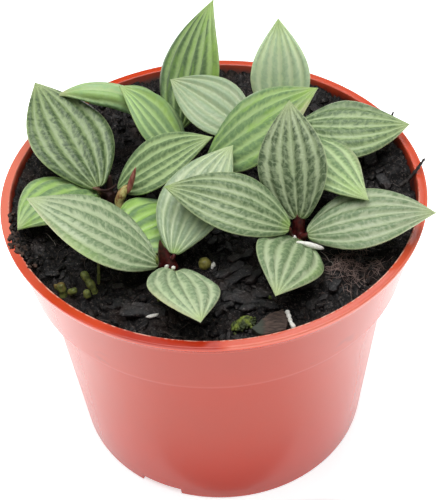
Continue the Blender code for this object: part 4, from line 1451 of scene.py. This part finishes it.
# Each bud: its root, its tip, its half thickness and how far it is drawn in at the waist
SPROUTS = {
    "sprouts_left": [
        ((-33.0, -33.2, 83.2), (-35.7, -30.7, 87.6), 1.25, 0.72),
        ((-34.5, -36.0, 83.0), (-34.7, -35.4, 85.3), 1.05, 1.0),
        ((-31.8, -31.2, 82.8), (-31.2, -29.0, 89.6), 0.50, 0.9),
    ],
    "sprouts_far_left": [
        ((-41.2, -33.5, 82.9), (-41.7, -32.6, 85.6), 1.25, 0.95),
        ((-39.6, -34.0, 83.0), (-37.4, -34.7, 84.8), 1.0, 0.9),
        ((-42.7, -32.6, 82.9), (-43.2, -32.0, 84.6), 0.6, 1.0),
    ],
}
OLIVE = olive_bud()
for node, buds in SPROUTS.items():
    parts = Parts()
    for root, tip, thick, waist in buds:
        root, tip = Vector(root), Vector(tip)
        line = [root.lerp(tip, t) for t in (0.0, 0.12, 0.3, 0.5, 0.7, 0.88, 0.97, 1.0)]
        add_tube(parts, line, [thick * k for k in (0.6, 0.9, 1.0, waist, 0.95, 0.85, 0.55, 0.25)])
    foot = Vector(buds[0][0])
    add_tube(parts, [foot - Vector((0, 0, 1.6)), foot + Vector((0, 0, 0.3))], [1.3, 0.8])
    fuse(place_parts(node + "_buds", parts, OLIVE, "olive_sprout", node), 0.2, 4)


# Small things on the mix
# A resin-coated bead of fertiliser, white perlite, a pale sliver and a stick of it, a flat piece
# of weathered bark, bright moss beside that, and a thin dark twig that leans over the lip.


def weathered_bark():
    material, place = new_material("weathered bark")
    grain = grained(place, 0.9, 0.0002)
    fibre = speckle(stretched(place, 0.3, 1.6, 1.0), 1.6, 4.0, 0.6)
    colour = tint(step(fibre, 0.35, 0.65), (0.030, 0.020, 0.017), (0.110, 0.072, 0.055))
    mossy = step(axes(place)[0] + fibre * 3.0, 11.5, 13.5, 0.8, 0.0)
    colour = tint(mossy, colour, (0.045, 0.062, 0.045))
    return finished(material, colour, 0.8, {"Normal": grain["Normal"]})


BALL = ball_shape(3)


def resting(name, spot, offset, size, turn, rough, seed, material, slot, node):
    """A small lump on its flat spot, in place of its solid."""
    x, y = SPOTS[spot][0] + offset[0], SPOTS[spot][1] + offset[1]
    floor = rolling_level(*SPOTS[spot][:2]) + 0.3
    half = (0.5 * size[0], 0.5 * size[1], 0.5 * size[2])
    shift = Vector((seed * 7.1, seed * 3.3, 0.0))
    rotate = Matrix.Rotation(math.radians(turn), 3, "Z")
    points = []
    for corner in BALL[0]:
        swell = 1.0 + rough * noise.noise(corner * 1.6 + shift)
        swell += 0.5 * rough * noise.noise(corner * 4.0 + shift)
        place = rotate @ Vector(corner[k] * half[k] * swell for k in range(3))
        height = max(place.z + floor + half[2] * 0.75, floor - 0.3)
        points.append((place.x + x, place.y + y, height))
    fit(add_piece(name, points, BALL[1], [material]), slot, node)


RESIN = mottled("fertiliser resin", 1.3, 0.0001, None, (0.35, 0.65),
                (0.16, 0.14, 0.030), (0.34, 0.31, 0.075), 0.33)
WHITE = mottled("white perlite", 0.7, 0.0002, None, (0.3, 0.55),
                (0.78, 0.74, 0.64), (0.97, 0.96, 0.90), 0.75)
resting("bead", "bead", (-1.2, 0.5), (3.6, 3.5, 3.2), 0, 0.12, 3,
        RESIN, "bead_resin", "fertiliser_bead")
resting("bead_perlite", "bead", (1.0, 0.0), (1.3, 1.9, 1.7), -20, 0.4, 4,
        WHITE, "perlite", "perlite_by_bead")
resting("front_perlite", "perlite", (0.3, 0.0), (3.2, 1.1, 1.0), 14, 0.35, 5,
        WHITE, "perlite", "perlite_front")

# The sliver is smooth and blunt; the stick is knobbly
for name, node, sides, corners, radii in (
    ("white_splinter", "white_sliver", 12,
     [(21.3, -27.1, 90.9), (23.3, -27.5, 91.0), (25.8, -28.3, 90.2), (28.5, -27.7, 88.6)],
     [0.25, 0.36, 0.40, 0.44, 0.50, 0.58, 0.66, 0.72, 0.75,
      0.75, 0.74, 0.72, 0.68, 0.62, 0.5, 0.25]),
    ("knobbly_stick", "white_stick", 10,
     [(17.2, -46.4, 85.4), (17.9, -47.8, 85.3), (17.6, -50.6, 85.7), (18.7, -52.8, 86.1)],
     [0.4, 0.68, 0.72, 0.56, 0.46, 0.6, 0.66, 0.5, 0.42,
      0.56, 0.6, 0.46, 0.4, 0.52, 0.6, 0.66, 0.6, 0.35]),
):
    parts = Parts()
    add_tube(parts, bezier(corners, len(radii)), radii, sides)
    place_parts(name, parts, WHITE, "perlite", node)

# The bark is a flat flake with broken edges
SLAB_EDGE = [
    (7.8, -51.4), (12.4, -47.2), (16.3, -45.7), (17.5, -48.8), (16.6, -52.4), (10.4, -53.4),
]
SLAB_RINGS = [
    (0.94, -1.9), (1.0, -1.5), (1.0, -0.2), (0.95, 0.0), (0.72, 0.05), (0.45, 0.1), (0.2, 0.1),
]
outline = []
for i, corner in enumerate(SLAB_EDGE):
    following = SLAB_EDGE[(i + 1) % len(SLAB_EDGE)]
    for k in range(8):
        outline.append(Vector(corner).lerp(Vector(following), k / 8))
middle = sum(outline, Vector((0, 0))) / len(outline)
slab_top = rolling_level(*SPOTS["bark"][:2]) + 2.5
points = []
for scale, height in SLAB_RINGS:
    for spot in outline:
        chipped = 1.0 + 0.06 * noise.noise(Vector((spot.x * 0.9, spot.y * 0.9, 5.0)))
        x, y = middle + (spot - middle) * scale * chipped
        uneven = 0.35 * noise.noise(Vector((x * 0.5, y * 0.5, 1.0)))
        uneven += 0.15 * noise.noise(Vector((x * 1.7, y * 1.7, 3.0)))
        points.append((x, y, slab_top + height + uneven + 0.10 * (y - middle.y)))
faces = ring_faces(len(SLAB_RINGS), len(outline))
slab = add_piece("weathered_bark", points, faces, [weathered_bark()])
slab.data.set_sharp_from_angle(angle=math.radians(40.0))
fit(slab, "bark", "bark_chip")

# Moss beside the bark, and single tufts elsewhere
MOSS_TUFTS = [
    (10.9, -34.2), (11.3, -34.9), (13.4, -40.1), (-15.9, -38.7), (-15.4, -39.3), (-14.9, -38.9),
    (-15.6, -39.9), (-51.6, -9.0), (-50.9, -9.8),
]
parts = Parts()
rng = random.Random(21)
for i in range(260):
    x = 6.0 + rng.triangular(-3.6, 3.4, 0.0)
    y = -48.0 + rng.triangular(-2.6, 2.6, 0.0)
    size = rng.uniform(0.3, 0.5)
    away = math.hypot(x - 6.0, y + 48.0)
    height = soil_level(x, y) + 0.3 + max(0.0, 1.6 - 0.5 * away)
    half = (size, size * 0.8, size * 1.1)
    add_lump(parts, SMALL_BALL, (x, y, height), half, rng.uniform(0, 6), rng, 0.4)
for x, y in MOSS_TUFTS:
    centre = (x, y, soil_top(x, y) + 0.9)
    add_lump(parts, SMALL_BALL, centre, (0.7, 0.5, 0.6), rng.uniform(0, 6), rng, 0.4)
green = mottled("bright moss", 0.8, 0.0001, 0.45, (0.38, 0.62),
                (0.026, 0.040, 0.006), (0.17, 0.22, 0.028), 0.6)
place_parts("moss", parts, green, "olive_sprout")

# Root nubs show white at the foot of two shoots, and a dried scale hangs at one
parts = Parts()
for nub in ((-13.4, -30.1, 87.2), (-11.6, -30.6, 87.0), (21.1, -23.1, 88.7), (-51.3, -8.8, 86.4)):
    add_lump(parts, FINE_BALL, nub, (0.62, 0.5, 0.8), 0.4, rng, 0.3)
place_parts("root_nubs", parts, WHITE, "perlite")
parts = Parts()
scale_line = [(-15.9, -28.0, 89.6), (-15.8, -28.2, 88.6), (-15.9, -29.0, 87.0)]
add_tube(parts, scale_line, [0.2, 0.42, 0.3])
place_parts("dried_scale", parts, OLIVE, "olive_sprout")

# The twig has one side shoot, and a short piece stands farther back
TWIG = [
    (53.0, -0.4, 84.8), (55.2, 0.3, 86.4), (57.4, 1.2, 88.8), (58.9, 2.2, 90.6), (60.0, 3.0, 91.8),
]
twig_line = spline(TWIG, 24)
fork = twig_line[7]
side_line = [fork, fork + Vector((-0.6, -1.4, 0.7)), fork + Vector((-1.4, -3.2, 0.9))]
piece_line = [(53.6, 27.6, 84.8), (54.3, 28.2, 86.6), (55.0, 28.8, 88.4)]
parts = Parts()
twig_radii = [0.70 - 0.38 * i / 23 + 0.10 * math.sin(i * 1.9) for i in range(24)]
add_tube(parts, twig_line, twig_radii, 8)
add_tube(parts, side_line, [0.30, 0.22, 0.12], 6)
add_tube(parts, piece_line, [0.45, 0.4, 0.25], 6)
dark_twig = root_finish("dark twig", (0.008, 0.006, 0.006), (0.026, 0.018, 0.015))
place_parts("leaning_twig", parts, dark_twig, "bark", "twig")


# Camera, light and floor
# A pale floor that glows, as a light table does. A broad soft light hangs overhead, a small one
# far behind shines on the lip, and the room is pale low down.

CAMERA_PLACE = Vector((0.0, -0.253, 0.314))
CAMERA_PITCH = math.radians(44.83)
CAMERA_YAW = math.radians(0.15)
CAMERA_ROLL = math.radians(-2.76)
forward = Vector((
    math.sin(CAMERA_YAW) * math.cos(CAMERA_PITCH),
    math.cos(CAMERA_YAW) * math.cos(CAMERA_PITCH),
    -math.sin(CAMERA_PITCH),
))
level = forward.cross(Vector((0, 0, 1))).normalized()
up = level.cross(forward)
right = level * math.cos(CAMERA_ROLL) + up * math.sin(CAMERA_ROLL)
up = up * math.cos(CAMERA_ROLL) - level * math.sin(CAMERA_ROLL)
camera_data = bpy.data.cameras.new("camera")
camera_data.lens = 86.4
camera_data.sensor_width = 36.0
camera_data.clip_start = 0.01
camera = set_out("camera", camera_data)
camera.matrix_world = Matrix((
    (right.x, up.x, -forward.x, CAMERA_PLACE.x),
    (right.y, up.y, -forward.y, CAMERA_PLACE.y),
    (right.z, up.z, -forward.z, CAMERA_PLACE.z),
    (0.0, 0.0, 0.0, 1.0),
))
bpy.context.scene.camera = camera


def soft_light(name, place, size, power):
    """A square panel that faces the plant."""
    data = bpy.data.lights.new(name, "AREA")
    data.shape = "SQUARE"
    data.size = size
    data.energy = power
    lamp = set_out(name, data)
    lamp.location = place
    towards = Vector((0.0, 0.0, 0.08)) - Vector(place)
    lamp.rotation_euler = towards.to_track_quat("-Z", "Y").to_euler()


soft_light("behind", (0.13, 0.79, 1.02), 0.26, 1.1)
soft_light("overhead", (-0.05, -0.02, 1.30), 1.20, 18.0)

world = bpy.data.worlds.new("pale room")
world.use_nodes = True
room = world.node_tree
heading = axes(put(room, "TexCoord", output="Generated"))
feed(room.nodes["Background"], {
    "Color": (1.0, 1.0, 1.0, 1.0), "Strength": step(heading[2], 0.05, 0.60, 0.40, 0.12),
})
bpy.context.scene.world = world
bpy.context.scene.view_settings.view_transform = "Standard"


def pale_floor():
    material, place = new_material("pale floor")
    x, y, z = axes(place)
    colour = tint(speckle(place, 0.004), (0.83, 0.83, 0.83), (0.87, 0.87, 0.87))
    sideways = maths("ABSOLUTE", x)
    away = measure("LENGTH", stretched(place, 1, 1, 0))
    bright = maths("MAXIMUM", step(sideways, 30.0, 95.0), step(away, 160.0, 320.0))
    glow = tint(bright, (0.345, 0.420, 0.425), (0.85, 0.85, 0.85))
    # The glow is brighter at the sides and far off, dimmer and bluish in a strip through the
    # middle, and dimmed in a painted shadow by the pot's front foot
    foot_shadow = step(away, 49.0, 67.0, 1.0, 0.0) * step(y, -48.5, -46.5, 1.0, 0.0)
    foot_shadow = foot_shadow * step(sideways, 28.0, 56.0, 0.8, 0.0)
    glow = tint(foot_shadow, glow, (0.0, 0.0, 0.0))
    return finished(material, colour, 0.7, {"Emission Color": glow, "Emission Strength": 1.5})


FLOOR_REACH = 3000.0
corners = [(-FLOOR_REACH, -FLOOR_REACH, 0), (FLOOR_REACH, -FLOOR_REACH, 0),
           (FLOOR_REACH, FLOOR_REACH, 0), (-FLOOR_REACH, FLOOR_REACH, 0)]
floor_piece = add_piece("floor", corners, [(0, 1, 2, 3)], [pale_floor()], smooth=False)
